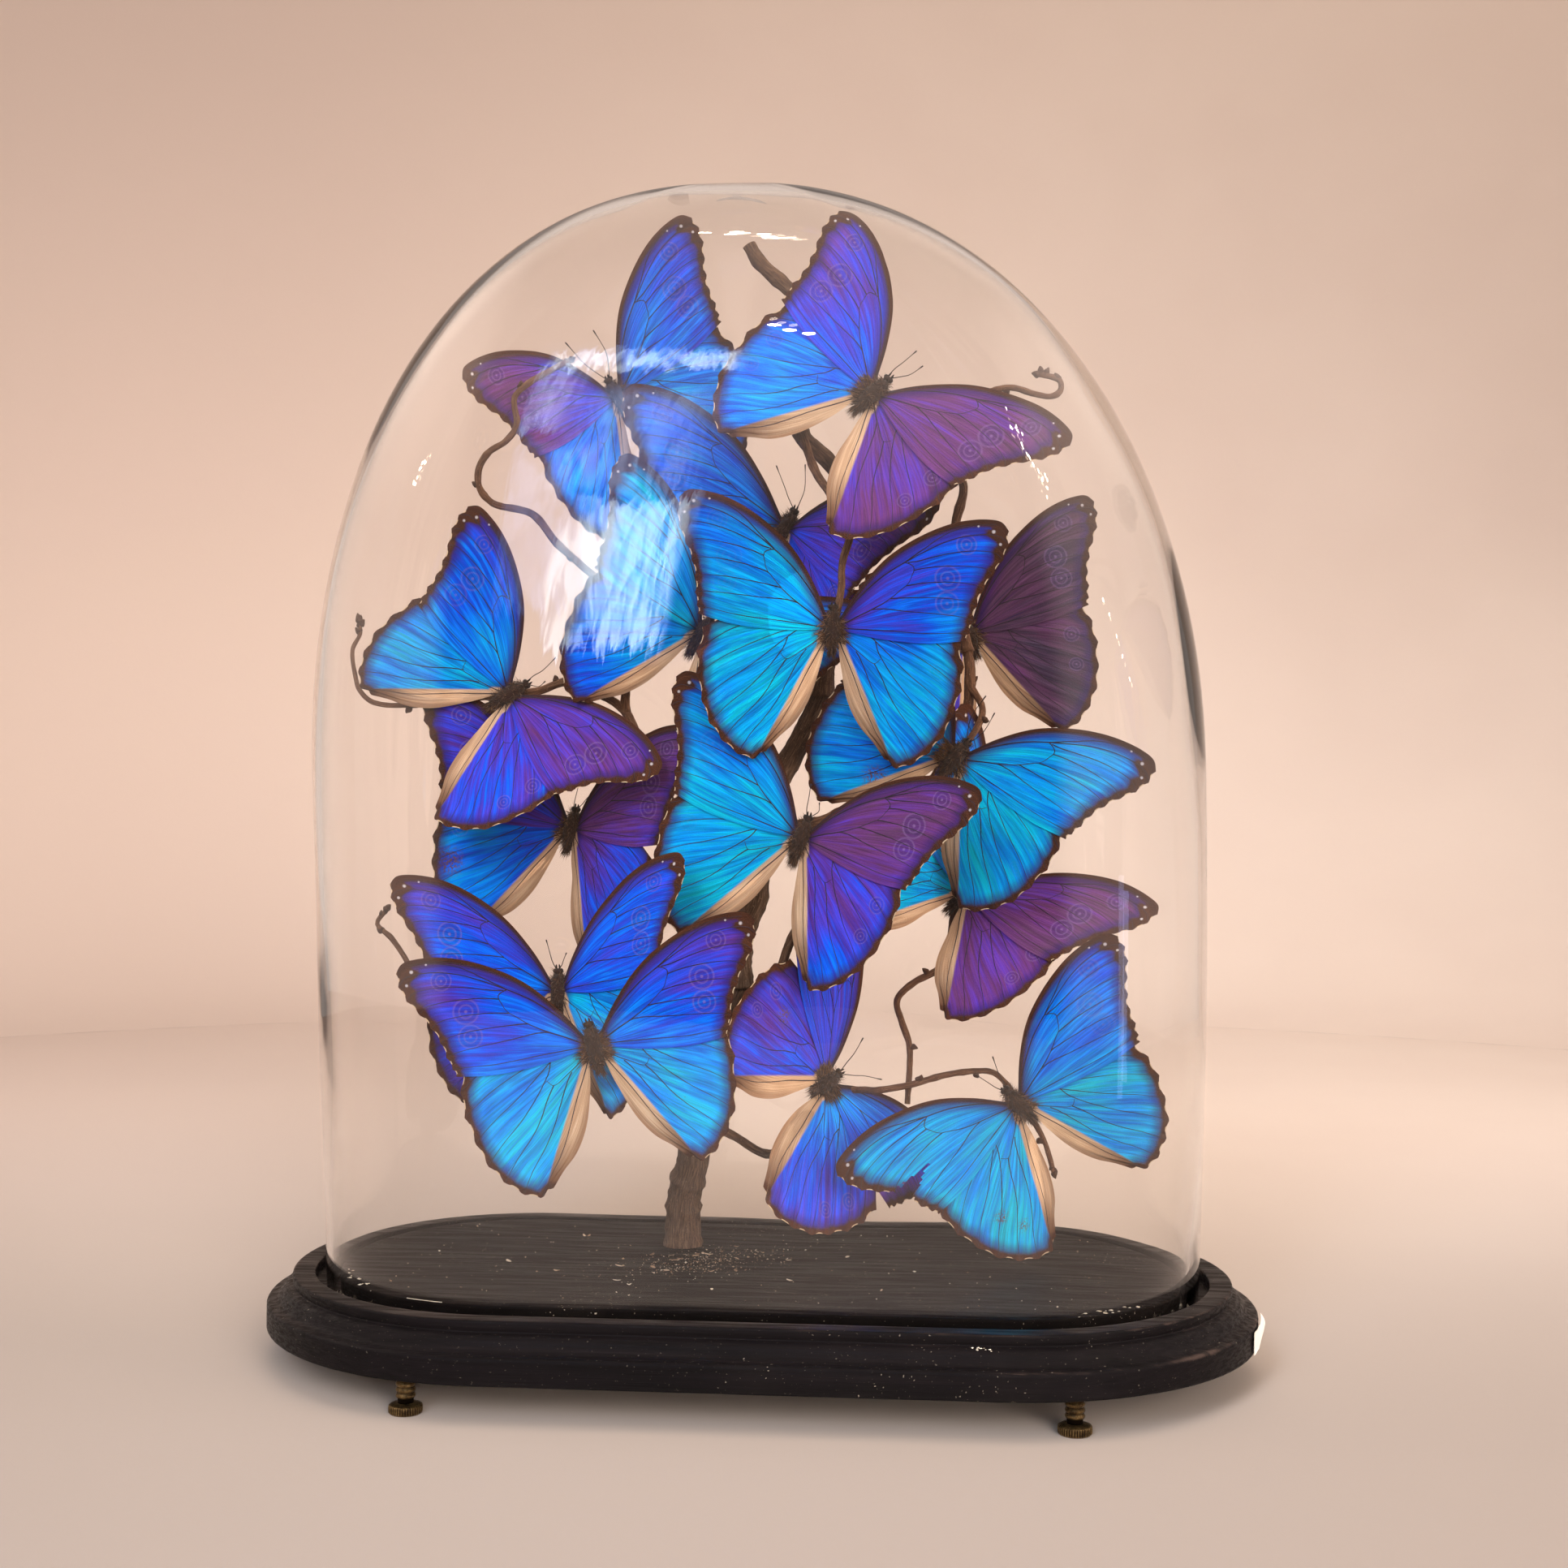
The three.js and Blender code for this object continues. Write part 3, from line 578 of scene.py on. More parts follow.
levels = [dome["foot"] + step for step in (0, 0.15, 0.6, 2.5)] + list(np.linspace(40, dome["spring"], 16))
walls = []
for thick in (0, dome["thick"]):
    climb = dome["spring"] + np.sin(pi / 2 * np.arange(1, 44) / 44) * (dome["top"] - thick - dome["spring"])
    walls.append([glassRing(z, thick) for z in levels + list(climb)])
shell = newBundle()
addSkin(shell, walls[1][::-1] + walls[0], (-dome["lean"], 0, dome["top"] - dome["thick"] - 0.3),
        (-dome["lean"], 0, dome["top"] - 0.1))
glass = newMaterial("blownGlass", Roughness=0.0, IOR=1.5, Transmission_Weight=1.0, Base_Color=(1, 1, 1, 1))
ends = tree.nodes["Material Output"].inputs
shadow = put("LightPath", {}).outputs["Is Shadow Ray"]
through = put("BsdfTransparent", {"Color": (0.95, 0.94, 0.91, 1)})
mixed = put("MixShader", {0: shadow, 1: shader.outputs[0], 2: through.outputs[0]})
absorb = put("VolumeAbsorption", {"Color": dome["tint"], "Density": dome["density"]})
tree.links.new(mixed.outputs[0], ends["Surface"])
tree.links.new(absorb.outputs[0], ends["Volume"])
bump(noise(placeIn(), 7.0, 2.0), 0.06, 0.002)
buildPiece("blownDome", shell, [glass], ["dome"])
print("dome made")


# Branch

# each limb: its thickness at the start and at the end, how it ends, and the points it runs through
branch = {
    "trunk": (7.2, 5.8, "", [(-36, 33, 37.6), (-36, 33, 42), (-35, 29, 60), (-30, 22, 80), (-30, 18, 96),
        (-27, 14, 112), (-20, 12, 133), (-12, 12, 153)]),
    "stem_low": (5.6, 4.2, "", [(-12, 12, 153), (-11, 12, 173), (-4, 12, 192), (-3, 12, 212), (1, 12, 231),
        (10, 14, 249), (17, 12, 262), (24, 12, 276)]),
    "stem_high": (4, 2.9, "cut", [(24, 12, 276), (28, 16, 312), (32, 20, 330), (35, 23, 348), (34, 21, 366),
        (26, 10, 377), (16, 1, 386), (14, -1, 402), (17, 2, 420), (19, 4, 438), (8, 4, 449), (-3, 4, 459),
        (-8, 4, 467)]),
    "limb_right": (2.6, 2.2, "", [(-3, 12, 212), (11, 12, 221), (27, 12, 225), (41, 12, 233), (53, 12, 245),
        (67, 12, 254), (82, 14, 261), (87, 12, 281), (86, 12, 296)]),
    "limb_upper_right": (2.1, 1.7, "", [(86, 12, 296), (82, 15, 314), (80, 20, 331), (80, 18, 350), (83, 14, 367),
        (72, 3, 379), (59, -7, 391), (45, -19, 396)]),
    "limb_left": (2.4, 1.6, "", [(-4, 12, 192), (-18, 12, 206), (-32, 12, 220), (-43, 12, 236), (-52, 12, 253),
        (-61, 14, 270), (-72, 12, 278), (-85, 12, 283), (-99, 15, 279), (-111, 10, 276)]),
    "limb_low_right": (2.3, 1.5, "", [(-20, 12, 133), (-6, 12, 143), (5, 12, 156), (11, 14, 172), (18, 12, 184),
        (30, 12, 191), (44, 12, 192), (57, 16, 192), (69, 24, 192), (82, 30, 191)]),
    "limb_low_left": (2.2, 1.6, "", [(-27, 14, 112), (-40, 12, 120), (-53, 10, 125), (-64, 4, 133), (-74, -3, 141),
        (-83, -10, 149)]),
    "twig_crown": (1.5, 1.1, "bud", [(45, -19, 396), (59, -17, 396), (73, -16, 396), (88, -15, 399), (101, -18, 402),
        (112, -24, 398), (118, -24, 397), (122, -24, 399), (122, -24, 403), (118, -24, 405), (113, -24, 406)]),
    "twig_left": (1.3, 0.9, "bud", [(-111, 10, 276), (-125, 15, 276), (-139, 12, 274), (-151, 2, 272),
        (-166, -2, 273), (-172, -3, 278), (-175, -1, 285), (-177, 1, 296), (-174, 3, 303), (-175, 3, 309)]),
    "twig_upper_left": (1.9, 1.2, "bud", [(-61, 14, 270), (-61, 13, 285), (-66, 15, 298), (-73, 22, 325),
        (-82, 20, 334), (-92, 18, 343), (-102, 16, 355), (-118, 9, 359), (-123, 4, 365), (-122, -2, 372),
        (-116, -9, 378), (-107, -14, 382), (-102, -17, 388), (-103, -18, 399), (-98, -16, 405), (-89, -10, 412),
        (-82, -2, 418)]),
    "twig_bottom": (2, 1.5, "", [(-30, 18, 96), (-13, 15, 89), (3, 16, 81), (13, 15, 89), (21, 11, 99),
        (23, 8, 112)]),
    "twig_shelf": (1.5, 1.1, "bud", [(13, 15, 89), (21, 20, 101), (31, 21, 107), (41, 14, 109.5), (49, 5, 111),
        (62, 2, 114), (75, 2, 118), (87, 4, 120), (98, 8, 119), (108, 10, 108), (119, 16, 91), (124, 16, 76)]),
    "twig_hook": (1.7, 1.2, "cut", [(82, 30, 191), (80, 28, 177), (79, 18, 166), (73, 7, 161), (64, 8, 156),
        (57, 10, 148), (59, 10, 139), (62, 10, 130), (62, 11, 119), (61, 10, 105)]),
    "twig_low_left": (1.6, 1, "bud", [(-83, -10, 149), (-96, -8, 148), (-109, -8, 148), (-123, -8, 148),
        (-136, -5, 151), (-147, 0, 156), (-154, 2, 166), (-159, 2, 173), (-165, 2, 179), (-161, 2, 185)]),
    "twig_02": (1.6, 1.4, "", [(16, 2, 418), (3, 10, 414), (-7, 19, 409), (-16, 27, 401), (-27, 34, 394),
        (-41, 37, 391), (-53, 44, 390), (-64, 47, 399), (-70, 38, 409)]),
    "twig_03": (1.6, 1.3, "", [(32, 20, 330), (25, 27, 338), (18, 36, 345), (7, 40, 350)]),
    "twig_04": (1.6, 1.4, "", [(23, 12, 274), (8, 12, 276), (-6, 12, 280), (-18, 13, 290), (-27, 10, 302)]),
    "twig_06": (1.8, 1.4, "", [(16, 1, 386), (22, -7, 370), (30, -14, 357), (37, -22, 343), (34, -23, 330),
        (34, -28, 319), (31, -30, 303)]),
    "twig_07": (1.6, 1.3, "", [(86, 12, 295), (84, 24, 304), (84, 34, 314), (84, 46, 322), (84, 58, 319),
        (86, 60, 306)]),
    "twig_08": (1.5, 1.3, "", [(87, 12, 281), (92, 4, 272), (89, -5, 262), (81, -11, 252)]),
    "twig_09": (1.8, 1.4, "", [(-3, 12, 210), (9, 2, 214), (17, -10, 216)]),
    "twig_10": (1.5, 1.3, "", [(-43, 12, 236), (-58, 17, 231), (-71, 25, 223), (-86, 30, 219)]),
    "twig_12": (1.6, 1.3, "", [(-53, 10, 125), (-62, -2, 124), (-73, -13, 124), (-80, -26, 128), (-73, -39, 132),
        (-61, -49, 134)]),
}
# where a bud stands on its twig: share of the length, and the way it points in x and z
buds = {
    "twig_hook": [(0.42, (-0.3, 1)), (0.77, (1, 0.3)), (0.2, (1, 0.2))],
    "twig_shelf": [(0.6, (0.2, -1)), (0.9, (-1, 0.1)), (0.45, (0, 1))],
    "twig_low_left": [(0.87, (-1, 0.2)), (0.5, (0.1, 1))],
    "twig_upper_left": [(0.6, (-1, 0.3)), (0.86, (-0.5, 1)), (0.35, (-1, 0))],
    "twig_crown": [(0.58, (0.2, -1)), (0.3, (0, 1)), (0.9, (-0.4, 1)), (0.96, (0.9, 0.6)), (0.98, (-1, 0.3)),
                   (0.99, (0.3, 1))],
    "twig_left": [(0.93, (-1, 0.4)), (0.97, (1, 0.5)), (0.99, (-0.7, 1)), (0.98, (0.6, 1)), (0.45, (0, -1))],
    "twig_08": [(0.5, (1, 0.3))], "stem_high": [(0.15, (1, 0.7)), (0.8, (1, 0.4))],
    "limb_left": [(0.55, (-0.2, 1)), (0.85, (0.2, 1))], "limb_upper_right": [(0.3, (1, 0.3))],
    "limb_right": [(0.9, (1, 0.4))], "twig_07": [(0.5, (1, 0.5))], "trunk": [(0.72, (1, 0.4))],
    "twig_02": [(0.4, (0, 1))],
}
bark = {"sides": 16, "step": 1.5, "collar": 0.45, "knots": 0.16, "roughness": 0.07, "budLength": 3.1, "budWidth": 1.6}


def addBud(bundle, place, way, scale, seed):
    random = np.random.default_rng(seed)
    way = unit(way)
    shares = np.linspace(0, 1, 9)
    for k in range(3):  # overlapping scales
        lean = unit(way + random.normal(size=3) * 0.22 * (k > 0))
        length = bark["budLength"] * scale * (1 - 0.22 * k)
        width = bark["budWidth"] * scale * (0.8 + 0.12 * k)
        bow = 0.3 * scale * np.sin(3 * shares)[:, None] * random.normal(size=3) * 0.5
        path = place + lean * (shares * length)[:, None] + bow
        radii = width * np.sin(pi * (0.14 + 0.84 * shares)) ** 0.8 * (1 - 0.25 * shares)
        rings = tube(path, radii[:, None] * (1 + 0.1 * np.cos(3 * np.linspace(0, 6.28, 9, endpoint=False))), 9)
        girth = np.concatenate([rings.reshape(-1, 3), path[[0, -1]]])
        addSkin(bundle, rings, path[0], path[-1], age=0.9, girth=girth)


def addLimb(bundle, name, seed):
    thick, thin, finish, points = branch[name]
    random = np.random.default_rng(seed)
    length = np.linalg.norm(np.diff(smoothPath(points, 200), axis=0), axis=1).sum()
    count = max(8, round(length / bark["step"]))
    path = smoothPath(points, count)
    gone = np.linspace(0, length, count)
    radii = thick + (thin - thick) * gone / length
    swell = 0.16 * np.exp(-gone / 9) if name == "trunk" else bark["collar"] * np.exp(-gone / (1.6 * thick))
    knot = random.uniform(8, 20)
    while knot < length - 6:  # the swollen rings where leaves stood
        swell += bark["knots"] * random.uniform(0.4, 1.2) * np.exp(-((gone - knot) / random.uniform(1.2, 2.4)) ** 2)
        knot += random.uniform(12, 30)
    if not finish and name not in ("trunk", "stem_low"):
        swell -= 0.5 * smoothStep(gone, length - 3, length)
    sides = bark["sides"] if thick < 5 else 36
    angles = turnsOf(sides)
    around = np.repeat(np.stack([np.cos(angles), np.sin(angles)], -1)[None], count, 0) * thick
    girth = np.concatenate([np.repeat(gone[:, None, None], sides, 1) * 0.45, around], -1)
    rough = bark["roughness"] * (ripple(girth, 3.2, seed) + 0.6 * ripple(girth, 1.3, seed + 5))
    if thick > 3:
        rough = rough * 0.8 + 0.05 * np.abs(np.sin(5 * angles + 0.08 * gone[:, None] + 2 * ripple(girth, 9, seed)))
    rings = tube(path, radii[:, None] * (1 + swell[:, None] + rough), sides)
    way = unit(path[-1] - path[-2])
    rounding = [(0.97, 0.12), (0.84, 0.2)] if finish == "cut" else [(0.86, 0.55), (0.55, 0.95)]
    caps = [path[-1] + (rings[-1] - path[-1]) * shrink + way * far * radii[-1] * 0.4 for shrink, far in rounding]
    girth = np.concatenate([girth, girth[-1:], girth[-1:]]).reshape(-1, 3)
    age = np.full(len(girth) + 2, 0.0 if thick > 5 else 0.25 if thick > 3 else 0.6)
    if finish == "cut":
        age[-sides - 2:] = -0.6
    tip = path[-1] + way * radii[-1] * (0.1 if finish == "cut" else 0.5)
    girth = np.concatenate([girth, girth[:1], girth[-1:]])
    addSkin(bundle, np.concatenate([rings, caps]), path[0], tip, age=age, girth=girth)
    for k, (share, (x, z)) in enumerate(buds.get(name, [])):
        at = min(int(share * count), count - 2)
        way = unit(unit(np.array([x, -0.25 + 0.5 * random.random(), z])) + 0.6 * unit(path[at + 1] - path[at]))
        addBud(bundle, path[at] + way * radii[at] * 0.6, way, 1.0 if thick < 3 else 1.5, seed * 31 + k)
    if finish == "bud":
        way = unit(path[-1] - path[-3])
        addBud(bundle, path[-1] - way * 0.4, way, 1.05, seed * 17)
        addBud(bundle, path[-2], unit(way + (0.7, 0.2, 0.3)), 0.8, seed * 19)
        addBud(bundle, path[-3], unit(way + (-0.7, -0.3, 0.2)), 0.75, seed * 23)


barkSkin = newMaterial("hazelBark", Roughness=0.8)
girth, age = mark("girth", "Vector"), mark("age")
streaks = noise(stretch(girth, 0.35, 1.6, 1.6), 1.2, 5.0, 0.65)
fine = noise(stretch(girth, 0.8, 3, 3), 2.6, 4.0, 0.7)
blotches = noise(placeIn(), 85.0, 3.0)
lenticels = noise(stretch(girth, 3.0, 1.0, 1.0), 1.5, 1.0, 0.3)
old = ramp(streaks, (0.3, (48, 33, 25)), (0.5, (84, 62, 48)), (0.7, (128, 102, 82)))
young = ramp(streaks, (0.3, (54, 34, 24)), (0.5, (96, 64, 46)), (0.72, (142, 104, 76)))
body = coat(old, (age, 0.0, 0.6, 1.0, young), (age, 0.65, 0.9, 0.75, (44, 26, 20)),
            (age, -0.1, -0.5, 1.0, (172, 140, 104)), (blotches, 0.5, 0.75, 0.45, (58, 40, 32)),
            (lenticels, 0.68, 0.76, 0.6, (168, 138, 110)))
wireUp(Base_Color=body, Roughness=ease(fine, 0.3, 0.7, 0.62, 0.92))
bump(plus(fine, streaks), 0.6, 0.0006)
for k, name in enumerate(branch):
    wood = newBundle()
    addLimb(wood, name, 100 + 7 * k)
    buildPiece("bark_" + name, wood, [barkSkin], [name])
print("branch made:", len(branch), "pieces")


# Butterflies

# Outlines of the right wings at mean size: x out to the tip, y towards the head.
forewing = {
    "front": [(2.5, 5), (12, 19), (24, 32), (38, 41), (52, 46.5), (64, 48), (70, 47), (72.8, 43.5)],
    "margin": [(72.8, 43.5), (72.8, 38), (70, 31), (64.5, 22.5), (60.5, 14), (58.5, 6), (56, -1)],
    "hind": [(3, 1), (20, -2), (40, -3), (56, -1)],
    "veinEnds": [0, 0.11, 0.25, 0.40, 0.55, 0.69, 0.82, 0.93, 1],
    "scallop": 0.9, "pleat": 0.12, "lift": 0.62, "along": 44, "across": 45,
    "veins": [
        [(0, 0.15), (0.2, 0.16), (0.48, 0.17), (0.75, 0.12), (0.99, 0.11)], [(0, 0.06), (0.4, 0.05), (0.86, 0.03)],
        [(0.48, 0.17), (0.7, 0.07), (0.93, 0.03)], [(0.5, 0.19), (0.56, 0.22), (0.99, 0.25)],
        [(0.54, 0.30), (0.75, 0.36), (0.99, 0.40)], [(0.51, 0.44), (0.7, 0.49), (0.99, 0.55)],
        [(0.41, 0.52), (0.62, 0.6), (0.99, 0.69)], [(0.27, 0.56), (0.5, 0.69), (0.99, 0.82)],
        [(0, 0.6), (0.15, 0.57), (0.27, 0.56), (0.41, 0.52), (0.51, 0.44)],
        [(0.48, 0.17), (0.525, 0.24), (0.54, 0.30), (0.53, 0.37), (0.51, 0.44)],
        [(0, 0.85), (0.3, 0.88), (0.6, 0.91), (0.98, 0.93)],
    ],
}
hindwing = {
    "front": [(3, 3), (20, 8), (40, 7.5), (53.5, 1.5)],
    "margin": [(53.5, 1.5), (55.6, -8), (55.4, -17), (53.5, -26), (50, -37), (44, -46), (37, -52.5), (29, -55.5),
               (24, -52)],
    "hind": [(2.5, -4), (4, -16), (7.5, -30), (13, -40), (19, -46), (24, -52)],
    "veinEnds": [0, 0.13, 0.27, 0.42, 0.56, 0.69, 0.81, 0.92, 1],
    "scallop": 1.4, "pleat": 0.15, "lift": -0.1, "along": 42, "across": 45,
    "veins": [
        [(0, 0.1), (0.3, 0.06), (0.7, 0.09), (0.99, 0.13)], [(0, 0.22), (0.22, 0.2), (0.6, 0.24), (0.99, 0.27)],
        [(0.22, 0.2), (0.32, 0.28), (0.6, 0.38), (0.99, 0.42)], [(0.32, 0.28), (0.4, 0.4), (0.65, 0.51), (0.99, 0.56)],
        [(0.38, 0.5), (0.62, 0.62), (0.99, 0.69)], [(0, 0.55), (0.2, 0.53), (0.38, 0.5), (0.405, 0.42)],
        [(0.2, 0.55), (0.5, 0.7), (0.99, 0.81)], [(0, 0.8), (0.3, 0.8), (0.7, 0.87), (0.99, 0.92)],
    ],
}
hinge = np.array([2.5, 2.0])


def nearest(points, line):
    gaps = points[:, None] - line[None]
    return np.sqrt((gaps**2).sum(-1)).min(1)


# Lays a grid over the wing between its edges, and measures what its markings follow.
def spreadWing(form):
    isFore = form is forewing
    u = 1 - (1 - np.linspace(0, 1, form["along"])) ** 1.5
    v = np.linspace(0, 1, form["across"])
    front = smoothPath(form["front"], shares=u)
    hind = smoothPath(form["hind"], shares=u)
    margin = smoothPath(form["margin"], shares=v)
    ribs = np.interp(v, form["veinEnds"], np.arange(len(form["veinEnds"])))
    way = unit(np.gradient(margin, axis=0))
    dips = np.abs(np.sin(pi * ribs))
    margin -= np.stack([-way[:, 1], way[:, 0]], -1) * (form["scallop"] * dips ** 0.8)[:, None]
    root = front[0] + (hind[0] - front[0]) * v[:, None]
    uu, vv = u[:, None, None], v[None, :, None]
    flat = (1 - vv) * front[:, None] + vv * hind[:, None] + (1 - uu) * root[None] + uu * margin[None]
    flat -= (1 - uu) * ((1 - vv) * front[0] + vv * hind[0]) + uu * ((1 - vv) * front[-1] + vv * hind[-1])
    flat = flat.reshape(-1, 2)
    fine = np.linspace(0, 1, 400)
    outer = nearest(flat, np.stack([np.interp(fine, v, column) for column in margin.T], -1))
    fore = nearest(flat, smoothPath(form["front"], 300))
    u2, v2, rib = np.repeat(u, len(v)), np.tile(v, len(u)), np.tile(ribs, len(u))
    width = (2.2 if isFore else 2.0) + (6.0 if isFore else 1.0) * np.exp(-(v2 / 0.2) ** 2)  # of the dark rim
    width = width * (1 + 0.25 * np.cos(2 * pi * rib))
    border = np.minimum(outer - width, fore - (1.5 + 1.5 * u2**2 if isFore else 0.5))
    flap = flat[:, 0] * 0 - 9 if isFore else (3.2 + 25.5 * -flat[:, 1] / 55) - flat[:, 0] + 1.2 * (flat[:, 1] > -4)
    window = smoothStep(np.tile(dips, len(u)), 0.5, 0.85)
    fringe = (0.5 - outer) * window + window - 1
    place = np.concatenate([flat, 0 * flat[:, :1]], -1)
    marks = {"border": border, "flap": flap, "fringe": fringe, "place": place}
    return {"lines": (u, v), "flat": flat, "rib": rib, "u": u2, "v": v2, "marks": marks}


def onSheet(sheet, lines, path):
    row, column = (np.interp(path[:, k], lines[k], np.arange(len(lines[k]))) for k in (0, 1))
    r = np.minimum(row.astype(int), sheet.shape[0] - 2)
    c = np.minimum(column.astype(int), sheet.shape[1] - 2)
    a, b = (row - r)[:, None], (column - c)[:, None]
    return ((1 - a) * (1 - b) * sheet[r, c] + a * (1 - b) * sheet[r + 1, c]
            + (1 - a) * b * sheet[r, c + 1] + a * b * sheet[r + 1, c + 1])


def turning(degrees):
    c, s = cos(radians(degrees)), sin(radians(degrees))
    return np.array([[c, s], [-s, c]])


wingForms = {"fore": (forewing, spreadWing(forewing)), "hind": (hindwing, spreadWing(hindwing))}
sheetThick = 0.15


def addWing(bundle, kind, hand, specimen, side, seed, pose):
    form, grid = wingForms[kind]
    random = np.random.default_rng(seed)
    flat = ((grid["flat"] - hinge) @ turning(side[kind]) + hinge) * specimen["size"]
    sideSeed = specimen["seed"] * 10 + (hand > 0)
    reach = np.linalg.norm(flat, axis=1) / 75
    z = 0.42 * ripple(flat, 46, sideSeed) * reach - 0.9 * (flat[:, 0] / 72) ** 3
    u, v, rib = grid["u"], grid["v"], grid["rib"]
    calm = 1 - smoothStep(v, 0.72, 1) if kind == "fore" else smoothStep(v, 0.02, 0.3)
    z += form["lift"] * smoothStep(u, 0.0, 0.12)
    pleats = form["pleat"] * np.cos(2 * pi * rib) * smoothStep(u, 0.18, 0.6)
    pleats += 0.05 * np.sin(2 * pi * (3.3 * rib + 2 * u) + random.uniform(0, 6)) * smoothStep(u, 0.3, 0.8)
    z += pleats * (0.25 + 0.75 * calm)
    z += (0.35 * ripple(np.stack([rib * 3, u * 12], -1), 9, seed + 3)) * smoothStep(u, 0.75, 1) * (0.3 + 0.7 * calm)
    fold = smoothStep(grid["marks"]["flap"], -1.5, 8) * smoothStep(u, 0.04, 0.3)
    z -= fold * (1.7 + 0.5 * np.sin(flat[:, 1] / 7 + sideSeed))
    sheet = np.stack([flat[:, 0], flat[:, 1], z], -1)
    edge = np.minimum(np.minimum(u, 1 - u), np.minimum(v, 1 - v))
    under = sheet - (sheetThick * smoothStep(edge, 0, 0.03))[:, None] * (0, 0, 1)

    place = grid["marks"]["place"]
    rub = np.zeros(len(u))
    for x, y, r in side.get(kind + "Rubbed", []):
        rub = np.maximum(rub, 1 - smoothStep(np.hypot(place[:, 0] - x, place[:, 1] - y), r * 0.4, r * 1.5))
    # painted sheen and shade: each wing's tone, fixed on it, from its root to the front and the back of the margin
    root, front, back = side[kind + "Tone"]
    tone = np.where(u < 0.05, root, root * (1 - u) + u * ((1 - v) * front + v * back))
    ray = np.stack([rib, u, np.full(len(u), seed % 97 * 1.7)], -1)
    marks = {**grid["marks"], "tone": tone, "rub": rub, "ray": ray}
    shape = (form["along"], form["across"])
    faces = gridFaces(*shape, flip=hand < 0)
    torn = side.get(kind + "Torn")
    if torn:
        corners = place[faces][:, :, :2].mean(1)
        corners = corners + 0.5 * np.stack([ripple(corners, 2.3, 5), ripple(corners, 2.9, 6)], -1)
        signs = np.stack([(q[0] - p[0]) * (corners[:, 1] - p[1]) - (q[1] - p[1]) * (corners[:, 0] - p[0])
                          for p, q in zip(torn, torn[1:] + torn[:1])])
        faces = faces[~((signs > 0).all(0) | (signs < 0).all(0))]

    def settle(points):
        return pose(points * (hand, 1, 1), side["raise"], hand)

    slot = 0 if kind == "fore" else 1
    addPart(bundle, settle(sheet), faces, slot, **marks)
    addPart(bundle, settle(under), faces[:, ::-1], slot + 2, **marks)
    for index, line in enumerate(form["veins"]):  # they stand a little proud of the scales
        line = smoothPath(line, 26)
        path = onSheet(sheet.reshape(shape + (3,)), grid["lines"], line)
        way = unit(np.gradient(path, axis=0) * (1, 1, 0))
        across = np.stack([-way[:, 1], way[:, 0], 0 * way[:, 0]], -1)
        wide = (0.6 - 0.3 * np.linspace(0, 1, 26)[:, None]) * (1.15 if index in (0, 8) else 0.9) * 0.5
        low, up = np.array([0, 0, 0.03]), np.array([0, 0, 1])
        rows = np.stack([path - across * wide - low, path + (0.05 + 0.5 * wide) * up, path + across * wide - low], 1)
        if torn:
            spots = onSheet(place.reshape(shape + (3,)), grid["lines"], line)[:, :2]
            if (np.linalg.norm(spots - np.mean(torn, 0), axis=1) < 3.5).any():
                continue
        addPart(bundle, settle(rows.reshape(-1, 3)), gridFaces(26, 3, flip=hand > 0), 4)


# Wing scales, veins, hair

scaleSheenTones = [  # painted sheen and shade of the blue scales, fixed on each wing: turquoise to plum and slate, as the scales are seen from lower and lower
    (0.0, (0, 190, 222)), (0.08, (0, 170, 240)), (0.21, (0, 128, 246)), (0.32, (12, 86, 236)),
    (0.42, (66, 66, 214)), (0.53, (94, 54, 164)), (0.66, (108, 56, 116)), (0.82, (98, 64, 94)),
    (1.0, (76, 64, 86)),
]


